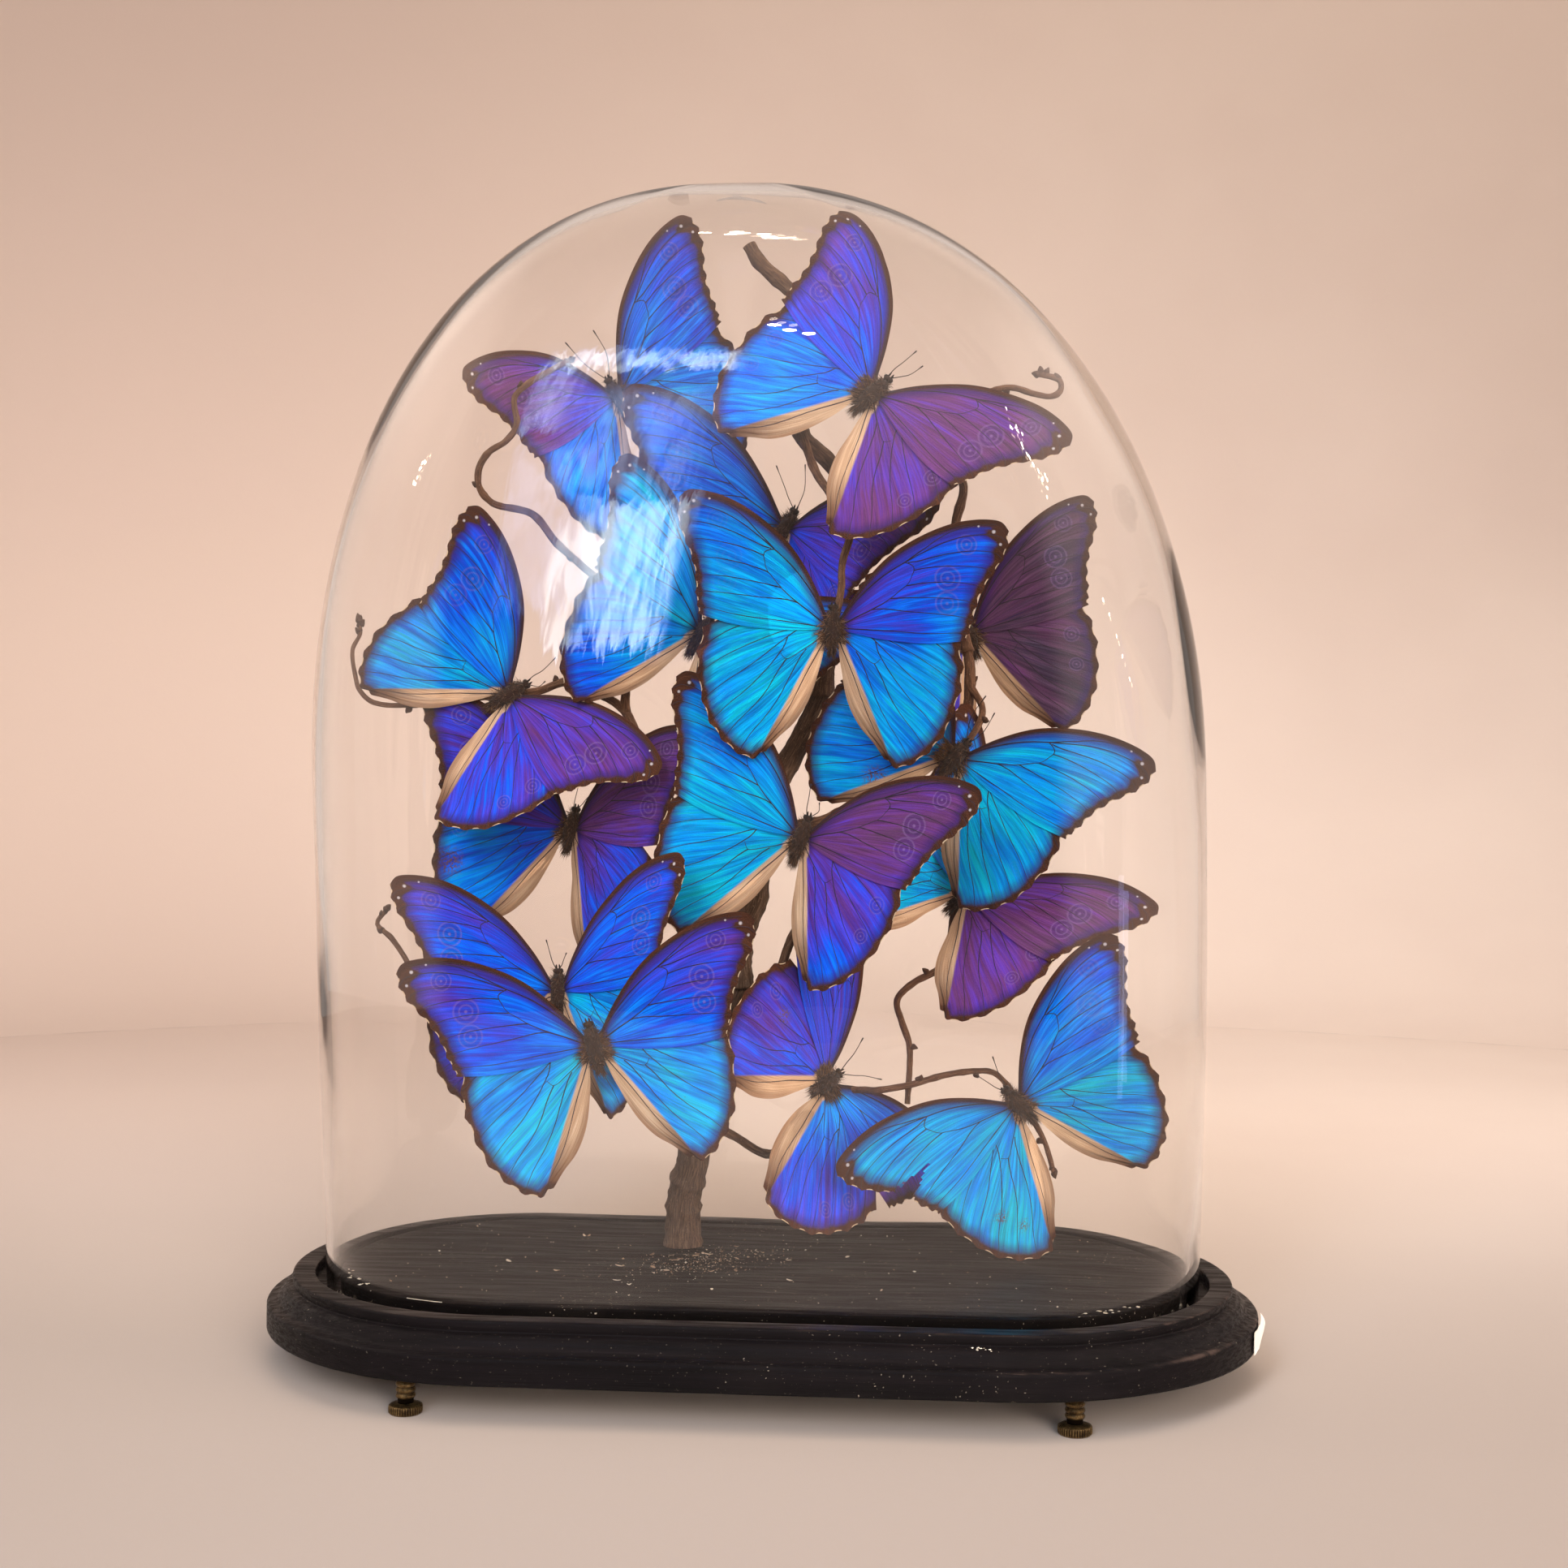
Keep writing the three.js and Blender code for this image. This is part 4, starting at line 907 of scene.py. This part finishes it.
def wingTop(name, look):
    material = newMaterial(name, Specular_IOR_Level=0.14)
    place, ray = mark("place", "Vector"), mark("ray", "Vector")
    # the tone is painted sheen and shade of the blue scales
    tone = times(mark("tone"), 0.8)
    streak = noise(stretch(ray, 4.2, 1.6, 1), 1.0, 5.0, 0.65, 0.5)
    fineStreak = noise(stretch(ray, 17, 2.6, 1), 1.0, 3.0, 0.6)
    cloud = noise(stretch(ray, 0.55, 2.2, 1), 1.0, 2.0)
    speckle = noise(place, 3.2, 3.0, 0.65)
    shift = plus(scaled(streak, 0.46, -0.22), scaled(fineStreak, 0.22, -0.11))
    colour = ramp(plus(tone, plus(shift, scaled(cloud, 0.4, -0.2))), *scaleSheenTones)
    # painted sheen: the blue is made brighter and darker along radial streaks
    light = plus(ease(streak, 0.28, 0.72, 1.2, 0.7), ease(fineStreak, 0.3, 0.7, -0.2, 0.16))
    colour = put("VectorMath", {0: colour, "Scale": light}, operation="SCALE").outputs[0]
    reach = put("VectorMath", {0: place}, operation="LENGTH").outputs["Value"]
    # painted shade in the folds between the veins, darkest near the root
    foldShade = times(ease(noise(stretch(ray, 6, 0.9, 1), 1.3, 3.0), 0.56, 0.66), ease(reach, 42.0, 12.0))
    colour = blend(times(foldShade, 0.62), colour, (22, 22, 84))
    colour = blend(ease(plus(reach, times(streak, 8.0)), 6.0, 14.0, 0.85, 0.0), colour, (34, 24, 28))
    # faint rings of the eyespots below show through where the blue has gone
    faint = ease(tone, 0.08, 0.4, 0.06, 0.5)
    for x, y, r in look["rings"]:
        away = calc("DIVIDE", plus(distance(place, x, y), scaled(speckle, 0.8, -0.4)), r)
        colour = blend(times(ease(away, 1.1, 0.7, 0.0, 0.6), faint), colour, (40, 34, 104))
        ring = ramp(away, (0.0, 0.9), (0.07, 0.8), (0.15, 0), (0.38, 0), (0.48, 0.6), (0.58, 0), (0.78, 0),
                    (0.88, 0.6), (1.0, 0))
        colour = blend(times(ring, faint), colour, (158, 124, 176))
    # worn patches without scales
    rub = times(mark("rub"), ease(noise(place, 0.9, 4.0, 0.7), 0.46, 0.56))
    bare = most(rub, times(ease(noise(stretch(ray, 4, 9, 1), 1.0, 2.0), 0.76, 0.8), 0.7))
    colour = blend(bare, colour, ramp(speckle, (0.3, (52, 36, 48)), (0.7, (142, 104, 92))))
    tan = ramp(plus(times(fineStreak, 0.8), times(cloud, 0.3)),
               (0.3, (150, 108, 80)), (0.55, (208, 168, 134)), (0.75, (232, 200, 168)))
    # the tan darkens towards its outer end, partly the flap's own brown and partly painted shade of its curl; its edge
    # is browner still
    tan = coat(tan, (reach, 30.0, 56.0, 0.9, (92, 56, 38)), (mark("flap"), 5.5, 9.0, 0.5, (110, 70, 48)))
    uneven = scaled(speckle, 1.8, -0.9)
    flap = ease(plus(mark("flap"), times(uneven, 0.6)), -0.7, 0.5)
    colour = blend(flap, colour, tan)
    border = plus(mark("border"), uneven)
    rim = ease(border, 1.6, -0.6)
    colour = blend(times(ease(border, 5.5, 0.8, 0.0, 0.7), calc("SUBTRACT", 1.0, flap)), colour, (48, 30, 96))
    brown = ramp(plus(speckle, times(streak, 0.3)), (0.4, (24, 14, 12)), (0.62, (56, 32, 24)), (0.95, (128, 78, 50)))
    colour = blend(rim, colour, brown)
    for x, y, r in look["spots"]:
        dot = ease(plus(distance(place, x, y), times(uneven, 0.4)), r, r * 0.3, 0.0, 0.8)
        colour = blend(dot, colour, (214, 204, 206))
    fringe = ease(plus(mark("fringe"), times(uneven, 0.12)), 0.0, 0.22)
    matt = most(most(rim, flap), most(bare, fringe))
    wireUp(Base_Color=blend(fringe, colour, (206, 178, 146)), Metallic=ease(matt, 0.0, 1.0, look["sheen"], 0.0),
           Roughness=plus(ease(speckle, 0.3, 0.7, 0.34, 0.48), times(matt, 0.28)))
    bump(plus(noise(place, 1.1, 4.0, 0.7, 1.2), times(fineStreak, 0.8)), 0.8, 0.0004)
    return material


eyeTones = [
    (0.0, (226, 220, 214)), (0.14, (226, 220, 214)), (0.2, (52, 30, 38)), (0.5, (26, 17, 15)), (0.58, (176, 130, 56)),
    (0.74, (190, 150, 82)), (0.82, (36, 24, 18)), (1.0, (70, 48, 34)),
]


def wingUnder(name, look):
    material = newMaterial(name, Roughness=0.7)
    place, ray = mark("place", "Vector"), mark("ray", "Vector")
    streak = noise(stretch(ray, 3, 1.4, 1), 1.0, 4.0, 0.6)
    bands = noise(stretch(ray, 0.4, 3.2, 1), 1.0, 2.5, 0.5, 0.3)
    colour = ramp(bands, (0.34, (56, 37, 26)), (0.47, (84, 58, 40)), (0.53, (132, 104, 78)), (0.6, (80, 54, 38)),
                  (0.72, (60, 41, 30)))
    colour = coat(colour, (streak, 0.4, 0.75, 0.5, (118, 92, 66)), (mark("border"), 1.0, -1.5, 0.7, (150, 122, 94)))
    for x, y, r in look["eyes"]:
        gap = distance(place, x, y)
        eye = ramp(calc("DIVIDE", gap, r * 1.25), *eyeTones)
        colour = blend(ease(gap, r * 1.3, r * 1.15), colour, eye)
    wireUp(Base_Color=colour)
    bump(plus(noise(place, 3.0, 3.0, 0.6), streak), 0.4, 0.0003)
    return material


def plainFinish(name, grain, stops, grit, push, own=None, **settings):
    material = newMaterial(name, **settings)
    tone = noise(placeIn(), grain)
    wireUp(Base_Color=ramp(plus(mark(own), scaled(tone, 0.4, -0.2)) if own else tone, *stops))
    bump(noise(placeIn(), grit), *push)
    return material


foreScales = wingTop("blueForewing", {"sheen": 0.1, "rings": [(48.3, 24, 5.6), (48, 13.8, 5.2), (56, 37.8, 4.4)],
                                      "spots": [(66.8, 43.2, 0.95), (69.4, 38.2, 0.8), (60.8, 45.2, 0.6)]})
hindScales = wingTop("blueHindwing", {"sheen": 0.1, "rings": [(45, -12, 3.8), (43, -26, 3.4)], "spots": []})
foreUnder = wingUnder("brownForewing", {"eyes": [(48.3, 24, 4.4), (48, 13.8, 4.0), (56, 37.8, 3.0)]})
hindUnder = wingUnder("brownHindwing", {"eyes": [(45, -12, 4.6), (43, -26, 4.0), (37, -37, 4.0), (30, -44, 3.0)]})
veinDark = plainFinish("wingVein", 900.0, [(0.35, (16, 12, 22)), (0.7, (44, 30, 40))], 2500.0, (0.3, 0.0001),
                       Roughness=0.5)
hornDark = plainFinish("feelerHorn", 1500.0, [(0.35, (14, 11, 10)), (0.7, (46, 34, 28))], 4000.0, (0.3, 0.0001),
                       Roughness=0.4)
hairTones = [(0.1, (24, 16, 12)), (0.45, (60, 40, 28)), (0.8, (112, 78, 54)), (1.0, (150, 114, 84))]
hairDark = plainFinish("thoraxHair", 700.0, hairTones, 3000.0, (0.5, 0.0002), "lock", Roughness=0.8, Sheen_Weight=0.12)


hair = {"count": 1900, "length": (1.4, 4.6), "width": 0.12}


def thoraxReach(share):
    return 3.9 * np.sin(pi * (0.05 + 0.9 * share)) ** 0.6 * (0.66 + 0.38 * share)


def addBody(bundle, specimen, pose):
    random = np.random.default_rng(specimen["seed"] * 7 + 1)
    shares = np.linspace(0, 1, 20)
    path = np.stack([0 * shares, -8.8 + 17.6 * shares, 0.5 * np.sin(pi * shares)], -1)
    rings = tube(path, thoraxReach(shares), 18)
    rings = rings + 0.3 * unit(rings - path[:, None]) * ripple(rings, 2.6, specimen["seed"])[..., None]
    addSkin(bundle, rings, path[0], path[-1], 0, pose, lock=0.25)
    head = np.array([0, 9.9, 0.3])
    turns = np.linspace(-pi / 2 + 0.25, pi / 2 - 0.25, 8)
    ball = np.array([circle(cos(t), turnsOf(12), sin(t)) for t in turns])
    eyeSize = (0.95, 1.05, 1.05)
    for shift, size, slot, lock in (((0, 0, 0), (1.75, 1.6, 1.6), 0, 0.2), ((1.25, 0.5, 0.25), eyeSize, 1, 0),
                                    ((-1.25, 0.5, 0.25), eyeSize, 1, 0)):
        middle, tall = head + shift, np.array([0, 0, size[2]])
        addSkin(bundle, ball * size + middle, middle - tall, middle + tall, slot, pose, lock=lock)
    for hand, tip in zip((-1, 1), specimen["feelers"] or (None, None)):  # feelers and palps
        if tip:
            start = head + (hand * 0.7, 1.1, 0.8)
            bow = random.uniform(-1.5, 1.5)
            end = np.array([tip[0], tip[1], 3.6 + random.uniform(-1, 1.5)])
            middle = (start + end) / 2 + (bow + hand * 0.6, 0, 1.0)
            line = smoothPath([start, (start + middle) / 2 + (hand * 0.3, 0, 0.3), middle, end], 26)
            shares = np.linspace(0, 1, 26)
            club = 0.2 - 0.06 * shares + 0.17 * smoothStep(shares, 0.82, 0.97)
            addSkin(bundle, tube(line, club, 6), line[0], line[-1], 1, pose, lock=0)
        line = head + np.array([(hand * 0.6, 1.2, 0.2), (hand * 0.7, 2.2, 0.7), (hand * 0.6, 3.0, 1.3)])
        addSkin(bundle, tube(line, [0.4, 0.42, 0.15], 7), line[0], line[-1], 0, pose, lock=0.15)

    # hair: each one a narrow bent blade, on the thorax, the head and the wings' roots
    count = hair["count"]
    kind = random.random(count)
    along = random.uniform(-8.7, 9.3, count)
    around = random.uniform(0, 2 * pi, count)
    out = circle(1, around, 0)[:, (0, 2, 1)]
    foot = out * (thoraxReach(np.clip((along + 8.8) / 17.6, 0, 1)) * 0.92)[:, None] + along[:, None] * (0, 1, 0)
    way = out * random.uniform(0.25, 0.8, (count, 1)) + (0, -1, 0) * random.uniform(0.1, 0.9, (count, 1))
    way += random.normal(size=(count, 3)) * 0.35
    ruff = (kind < 0.16) & (along > 2)
    way[ruff] = out[ruff] * 0.6 + np.array([0, 0.9, 0.2]) + random.normal(size=(ruff.sum(), 3)) * 0.3
    tuft = kind > 0.72  # hair that lies along the wings' roots
    hands = np.where(random.random(count) < 0.5, -1, 1)
    foot[tuft] = np.stack([hands * random.uniform(2.4, 6.2, count), random.uniform(-4.5, 5.5, count),
                           random.uniform(0.6, 1.5, count)], -1)[tuft]
    way[tuft] = np.stack([hands, random.uniform(-0.9, 0.9, count), random.uniform(0.05, 0.5, count)], -1)[tuft]
    stub = (along < -6.5) & ~tuft
    way[stub] = unit(way[stub]) * 0.5 + (0, -1.1, 0)
    way = unit(way)
    length = random.uniform(*hair["length"], count)[:, None] * np.where(tuft, 1.1, 1.0)[:, None]
    droop = random.normal(size=(count, 3)) * 0.25 + (0, -0.35, 0)
    middle = foot + way * length * 0.55
    tips = foot + way * length + droop * length * 0.35
    wide = unit(np.cross(way, random.normal(size=(count, 3)))) * hair["width"]
    points = np.stack([foot - wide, foot + wide, middle + wide * 0.7, middle - wide * 0.7, tips], 1)
    first = np.arange(count)[:, None] * 5
    lock = np.clip(random.normal(0.42, 0.2, count) + 0.2 * tuft, 0, 1)
    blades = [first + [[0, 1, 2, 3]], first + [[3, 2, 4]]]
    addPart(bundle, pose(points.reshape(-1, 3)), blades, 0, lock=np.repeat(lock, 5))


def wingPair(fore, hind, lift, foreTone, hindTone, **damage):
    return {"fore": fore, "hind": hind, "raise": lift, "foreTone": foreTone, "hindTone": hindTone, **damage}


def butterfly(at, turned, size, feelers, left, right):
    return {"at": at, "turned": turned, "size": size, "feelers": feelers, "sides": (left, right)}


# Each one: where its thorax is, its heading, pitch and turn, its size, the tips of its feelers, and its left and
# right wings: how far the forewing and the hindwing are turned, how far they are raised, and the tones of both.
# Tones, the painted sheen and shade of the blue scales, run from 0, turquoise, to 1, plum: at the root, at the front
# and at the back of the margin.
specimens = [
    butterfly((45, -25, 397), (-45, -9, -3), 1.01, [(0.4, 26), (6.9, 23)],
              wingPair(6, 4, -6, (0.36, 0.74, 0.56), (0.22, 0.34, 0.27)),
              wingPair(-7, 3, 18, (0.74, 0.96, 0.84), (0.6, 0.86, 0.74))),
    butterfly((-67, 34, 408), (29, 30, 20), 0.99, [(-9, 35), (4, 33)],
              wingPair(8, 5, 20, (0.45, 0.98, 0.8), (0.3, 0.3, 0.22)),
              wingPair(8, 4, 14, (0.25, 0.5, 0.36), (0.14, 0.22, 0.26))),
    butterfly((6, 35, 350), (-27, 5, -6), 1.09, [(-15, 24), (-4, 30)],
              wingPair(-18, 0, 24, (0.2, 0.4, 0.32), (0.3, 0.3, 0.26)),
              wingPair(-8, 0, 40, (0.5, 0.94, 0.6), (0.45, 0.5, 0.46))),
    butterfly((-27, 5, 302), (-32, -1, 1), 0.98, None,
              wingPair(1, 3, 23, (0.1, 0.12, 0.12), (0.1, 0.22, 0.42)),
              wingPair(0, 0, 22, (0.1, 0.3, 0.2), (0.1, 0.15, 0.15))),
    butterfly((-111, 5, 276), (-58, -4, -2), 0.97, [(-2.8, 27), (3.8, 18)],
              wingPair(-10, 8, 21, (0.2, 0.52, 0.26), (0.12, 0.2, 0.06)),
              wingPair(-2, 5, 23, (0.58, 0.68, 0.6), (0.58, 0.5, 0.44))),
    butterfly((31, -35, 301), (-3, 20, 1), 0.99, None,
              wingPair(11, 2, 16, (0.1, 0.22, 0.08), (0.06, 0.08, 0.06)),
              wingPair(4, 0, 14, (0.56, 0.44, 0.2), (0.3, 0.12, 0.08))),
    butterfly((87, 55, 305), (22, 16, 8), 0.97, [(-5, 28), (6, 27)],
              wingPair(0, 0, 8, (0.6, 0.8, 0.7), (0.5, 0.6, 0.6)),
              wingPair(-4, -4, 15, (1.0, 1.05, 1.15), (0.95, 1.1, 1.2))),
    butterfly((80, -15, 250), (-38, 27, 3), 1.01, [(-5.8, 33), (1.1, 30)],
              wingPair(0, 5, 3, (0.12, 0.2, 0.12), (0.26, 0.12, 0.12), hindRubbed=[(18, -29, 5)]),
              wingPair(10, 12, 14, (0.08, 0.22, 0.1), (0.05, 0.12, 0.08))),
    butterfly((17, -15, 216), (-19, 0, -6), 1, [(-3, 24), (2.8, 18)],
              wingPair(3, 6, 19, (0.12, 0.26, 0.05), (0.04, 0.06, 0.05)),
              wingPair(-2, -1, 24, (0.82, 0.92, 0.7), (0.74, 0.6, 0.24), hindRubbed=[(24, 2, 2.0)])),
    butterfly((-86, 25, 218), (-15, 8, -1), 1.03, [(-1, 22), (8.5, 23)],
              wingPair(0, 4, 14, (0.6, 0.6, 0.5), (0.45, 0.24, 0.24), hindRubbed=[(46, -27, 6)]),
              wingPair(14, 4, 38, (0.78, 0.86, 0.7), (0.72, 0.34, 0.22))),
    butterfly((-83, -15, 151), (4, -17, 1), 1, [(-4.4, 23), (4.2, 17)],
              wingPair(-3, 14, 37, (0.32, 0.66, 0.34), (0.4, 0.6, 0.6)),
              wingPair(0, 0, 36, (0.35, 0.4, 0.35), (0.12, 0.1, 0.08))),
    butterfly((-61, -54, 134), (14, -1, 1), 0.98, None,
              wingPair(4, 5, 12, (0.26, 0.66, 0.36), (0.05, 0.18, 0.1)),
              wingPair(-6, 4, 8, (0.24, 0.72, 0.34), (0.16, 0.1, 0.12))),
    butterfly((27, 5, 113), (-58, -54, 14), 1.06, [(-7.6, 29), (12.8, 32)],
              wingPair(7, 0, 6, (0.44, 0.6, 0.46), (0.45, 0.55, 0.5),
                       hindRubbed=[(34, -12, 4)], foreRubbed=[(44, 22, 2)]),
              wingPair(3, -7, 6, (0.12, 0.55, 0.8), (0.14, 0.62, 0.5))),
    butterfly((109, 5, 106), (43, 18, 2), 1.03, [(-4.3, 26), (5.9, 26.5)],
              wingPair(-1, 4, 18, (0.12, 0.14, 0.05), (0.1, 0.06, 0.08),
                       hindRubbed=[(36.5, -27.5, 2.6), (31.5, -37.5, 2.2)],
                       foreTorn=[(64, 21.5), (43.5, 16.5), (63, 11)]),
              wingPair(-7, -8, 16, (0.18, 0.42, 0.2), (0.12, 0.1, 0.05))),
    butterfly((84, 25, 192), (-41, -24, 7), 1.01, None,
              wingPair(0, 8, 36, (0.2, 0.3, 0.2), (0.06, 0.05, 0.05)),
              wingPair(-9, 4, 44, (0.62, 1.0, 0.92), (0.74, 0.84, 0.7))),
]


def poser(specimen):
    heading, pitch, turn = (radians(angle) for angle in specimen["turned"])
    turned = np.array(Matrix.Rotation(pi / 2, 3, "X") @ Matrix.Rotation(heading, 3, "Z")
                      @ Matrix.Rotation(pitch, 3, "X") @ Matrix.Rotation(turn, 3, "Y"))

    def pose(points, lift=0, hand=1):
        c, s = cos(radians(lift)), sin(radians(lift)) * hand
        return points @ np.array([[c, 0, s], [0, 1, 0], [-s, 0, c]]) @ turned.T + specimen["at"]

    return pose


for number, specimen in enumerate(specimens, 1):
    specimen["seed"] = 40 + number
    pose = poser(specimen)
    name = "%02d" % number
    wings, body = newBundle(), newBundle()
    for hand, side in zip((-1, 1), specimen["sides"]):
        for kind in ("hind", "fore"):
            seed = specimen["seed"] * 8 + (hand > 0) * 4 + (kind == "fore") * 2
            addWing(wings, kind, hand, specimen, side, seed, pose)
    addBody(body, specimen, pose)
    buildPiece("wings_" + name, wings, [foreScales, hindScales, foreUnder, hindUnder, veinDark],
               ["butterfly_" + name])
    buildPiece("body_" + name, body, [hairDark, hornDark])
print("butterflies made:", len(specimens))


# Crumbs, dust and old putty on the board and in the groove

debris = {"crumbs": 900, "leafBits": 26, "putty": 34, "flakes": 34, "sliver": 7.5}
boardTop, grooveFloor = 37.45, 30.1
random = np.random.default_rng(5)
litter = newBundle()


def addCrumb(place, size, flatness, shade):
    corners = np.array([(1, 0, 0), (0, 1, 0), (-1, 0, 0), (0, -1, 0), (0, 0, 1), (0, 0, -1)])
    corners = unit(corners + random.normal(size=(6, 3)) * 0.3)
    corners = corners * size * random.uniform(0.6, 1.2, (6, 1)) * (1, random.uniform(0.5, 1), flatness)
    corners[:, 2] -= corners[:, 2].min()
    faces = np.array([(0, 1, 4), (1, 2, 4), (2, 3, 4), (3, 0, 4), (1, 0, 5), (2, 1, 5), (3, 2, 5), (0, 3, 5)])
    addPart(litter, corners + place, faces, shade=shade)


for k in range(debris["crumbs"]):
    if k % 3:
        across = random.normal()  # the dust runs aslant past the foot of the trunk
        place = (-22 + across * 17, 5 + across * 9 + random.normal() * 12, boardTop)
    else:
        place = (random.uniform(-150, 150), random.uniform(-70, 70), boardTop)
    if abs(place[0]) < 150 and abs(place[1]) < 66:
        addCrumb(place, random.uniform(0.12, 0.4) * (1 + (random.random() < 0.08)), 0.6, random.random())
for k in range(debris["leafBits"]):
    place = (-24 + random.normal() * 34, -4 + random.normal() * 26, boardTop + 0.05)
    place = np.clip(place, (-150, -64, 0), (150, 64, 40))
    turn, length, width = random.uniform(0, 6.28), random.uniform(0.9, 2.6), random.uniform(0.4, 0.9)
    u, v = np.meshgrid(np.linspace(-1, 1, 6), np.linspace(-1, 1, 4), indexing="ij")
    x, y = u * length, v * width * (1 - 0.7 * u**2)
    z = 0.1 + 0.35 * u**2 * random.uniform(0, 1.4) + 0.25 * v**2 * width
    leaf = np.stack([x * cos(turn) - y * sin(turn), x * sin(turn) + y * cos(turn), z], -1) + place
    addPart(litter, leaf, gridFaces(6, 4), shade=random.random())
    addPart(litter, leaf + (0, 0, 0.05), gridFaces(6, 4, flip=True), shade=random.random())
for k in range(debris["putty"]):
    nearX, nearY = [(-168, -62), (170, -50), (158, -64), (-110, -86), (150, 60)][k % 5]
    radius = base["depth"] - (random.uniform(25.5, 28.6) if k % 2 else random.uniform(20.4, 22.8))
    angle = atan2(nearY, nearX - copysign(bowX, nearX)) + random.normal() * 0.16
    place = (copysign(bowX, nearX) + radius * cos(angle), radius * sin(angle), grooveFloor)
    if k % 5 == 3:
        place = (nearX + random.normal() * 12, -79.4 - random.uniform(-0.3, 0.9), grooveFloor + 0.1)
    addCrumb(place, random.uniform(0.6, 1.7), random.uniform(0.7, 1.6), 0.75 + 0.25 * random.random())
for k in range(debris["flakes"]):  # pale scraps on both ends of the board, and a scuff on the moulding
    onBoard = k % 3 < 2
    x = (random.uniform(128, 152), random.uniform(-172, -150), random.uniform(88, 97))[k % 3]
    inset = 29.5 + random.uniform(1.2, 6) if onBoard else random.uniform(8, 10)
    y = -sqrt(max(0, (base["depth"] - inset) ** 2 - max(0, abs(x) - bowX) ** 2))
    size = random.uniform(0.5, 1.5) if onBoard else random.uniform(0.3, 0.8)
    addCrumb((x, y, 37.42 if onBoard else 31.2 + (inset - 8) * 0.45), size, 0.35, 0.8 + 0.2 * random.random())
u, v = np.meshgrid(np.linspace(-1, 1, 9) * debris["sliver"], np.linspace(-1, 1, 3), indexing="ij")
curl = 0.12 + 0.1 * (u / debris["sliver"]) ** 2 - 0.1 * v**2
sliver = np.stack([u - v * 0.12, -0.34 * u + v * 0.4, curl], -1) + (-124, -72, 37.5)
for lift, flip in ((0, False), (0.05, True)):
    addPart(litter, sliver - (0, 0, lift), gridFaces(9, 3, flip=flip), shade=0.95)
crumbTones = [(0.0, (84, 62, 48)), (0.4, (146, 116, 90)), (0.7, (186, 164, 138)), (1.0, (214, 204, 186))]
crumbTone = plainFinish("crumbsAndPutty", 900.0, crumbTones, 2200.0, (0.5, 0.0003), "shade", Roughness=0.9)
buildPiece("crumbsAndPutty", litter, [crumbTone], smooth=False)
print("crumbs and putty made")

shown = [thing.data for thing in bpy.data.objects if thing.type == "MESH" and not thing.hide_render]
print("triangles in all:", sum(len(face.vertices) - 2 for mesh in shown for face in mesh.polygons))
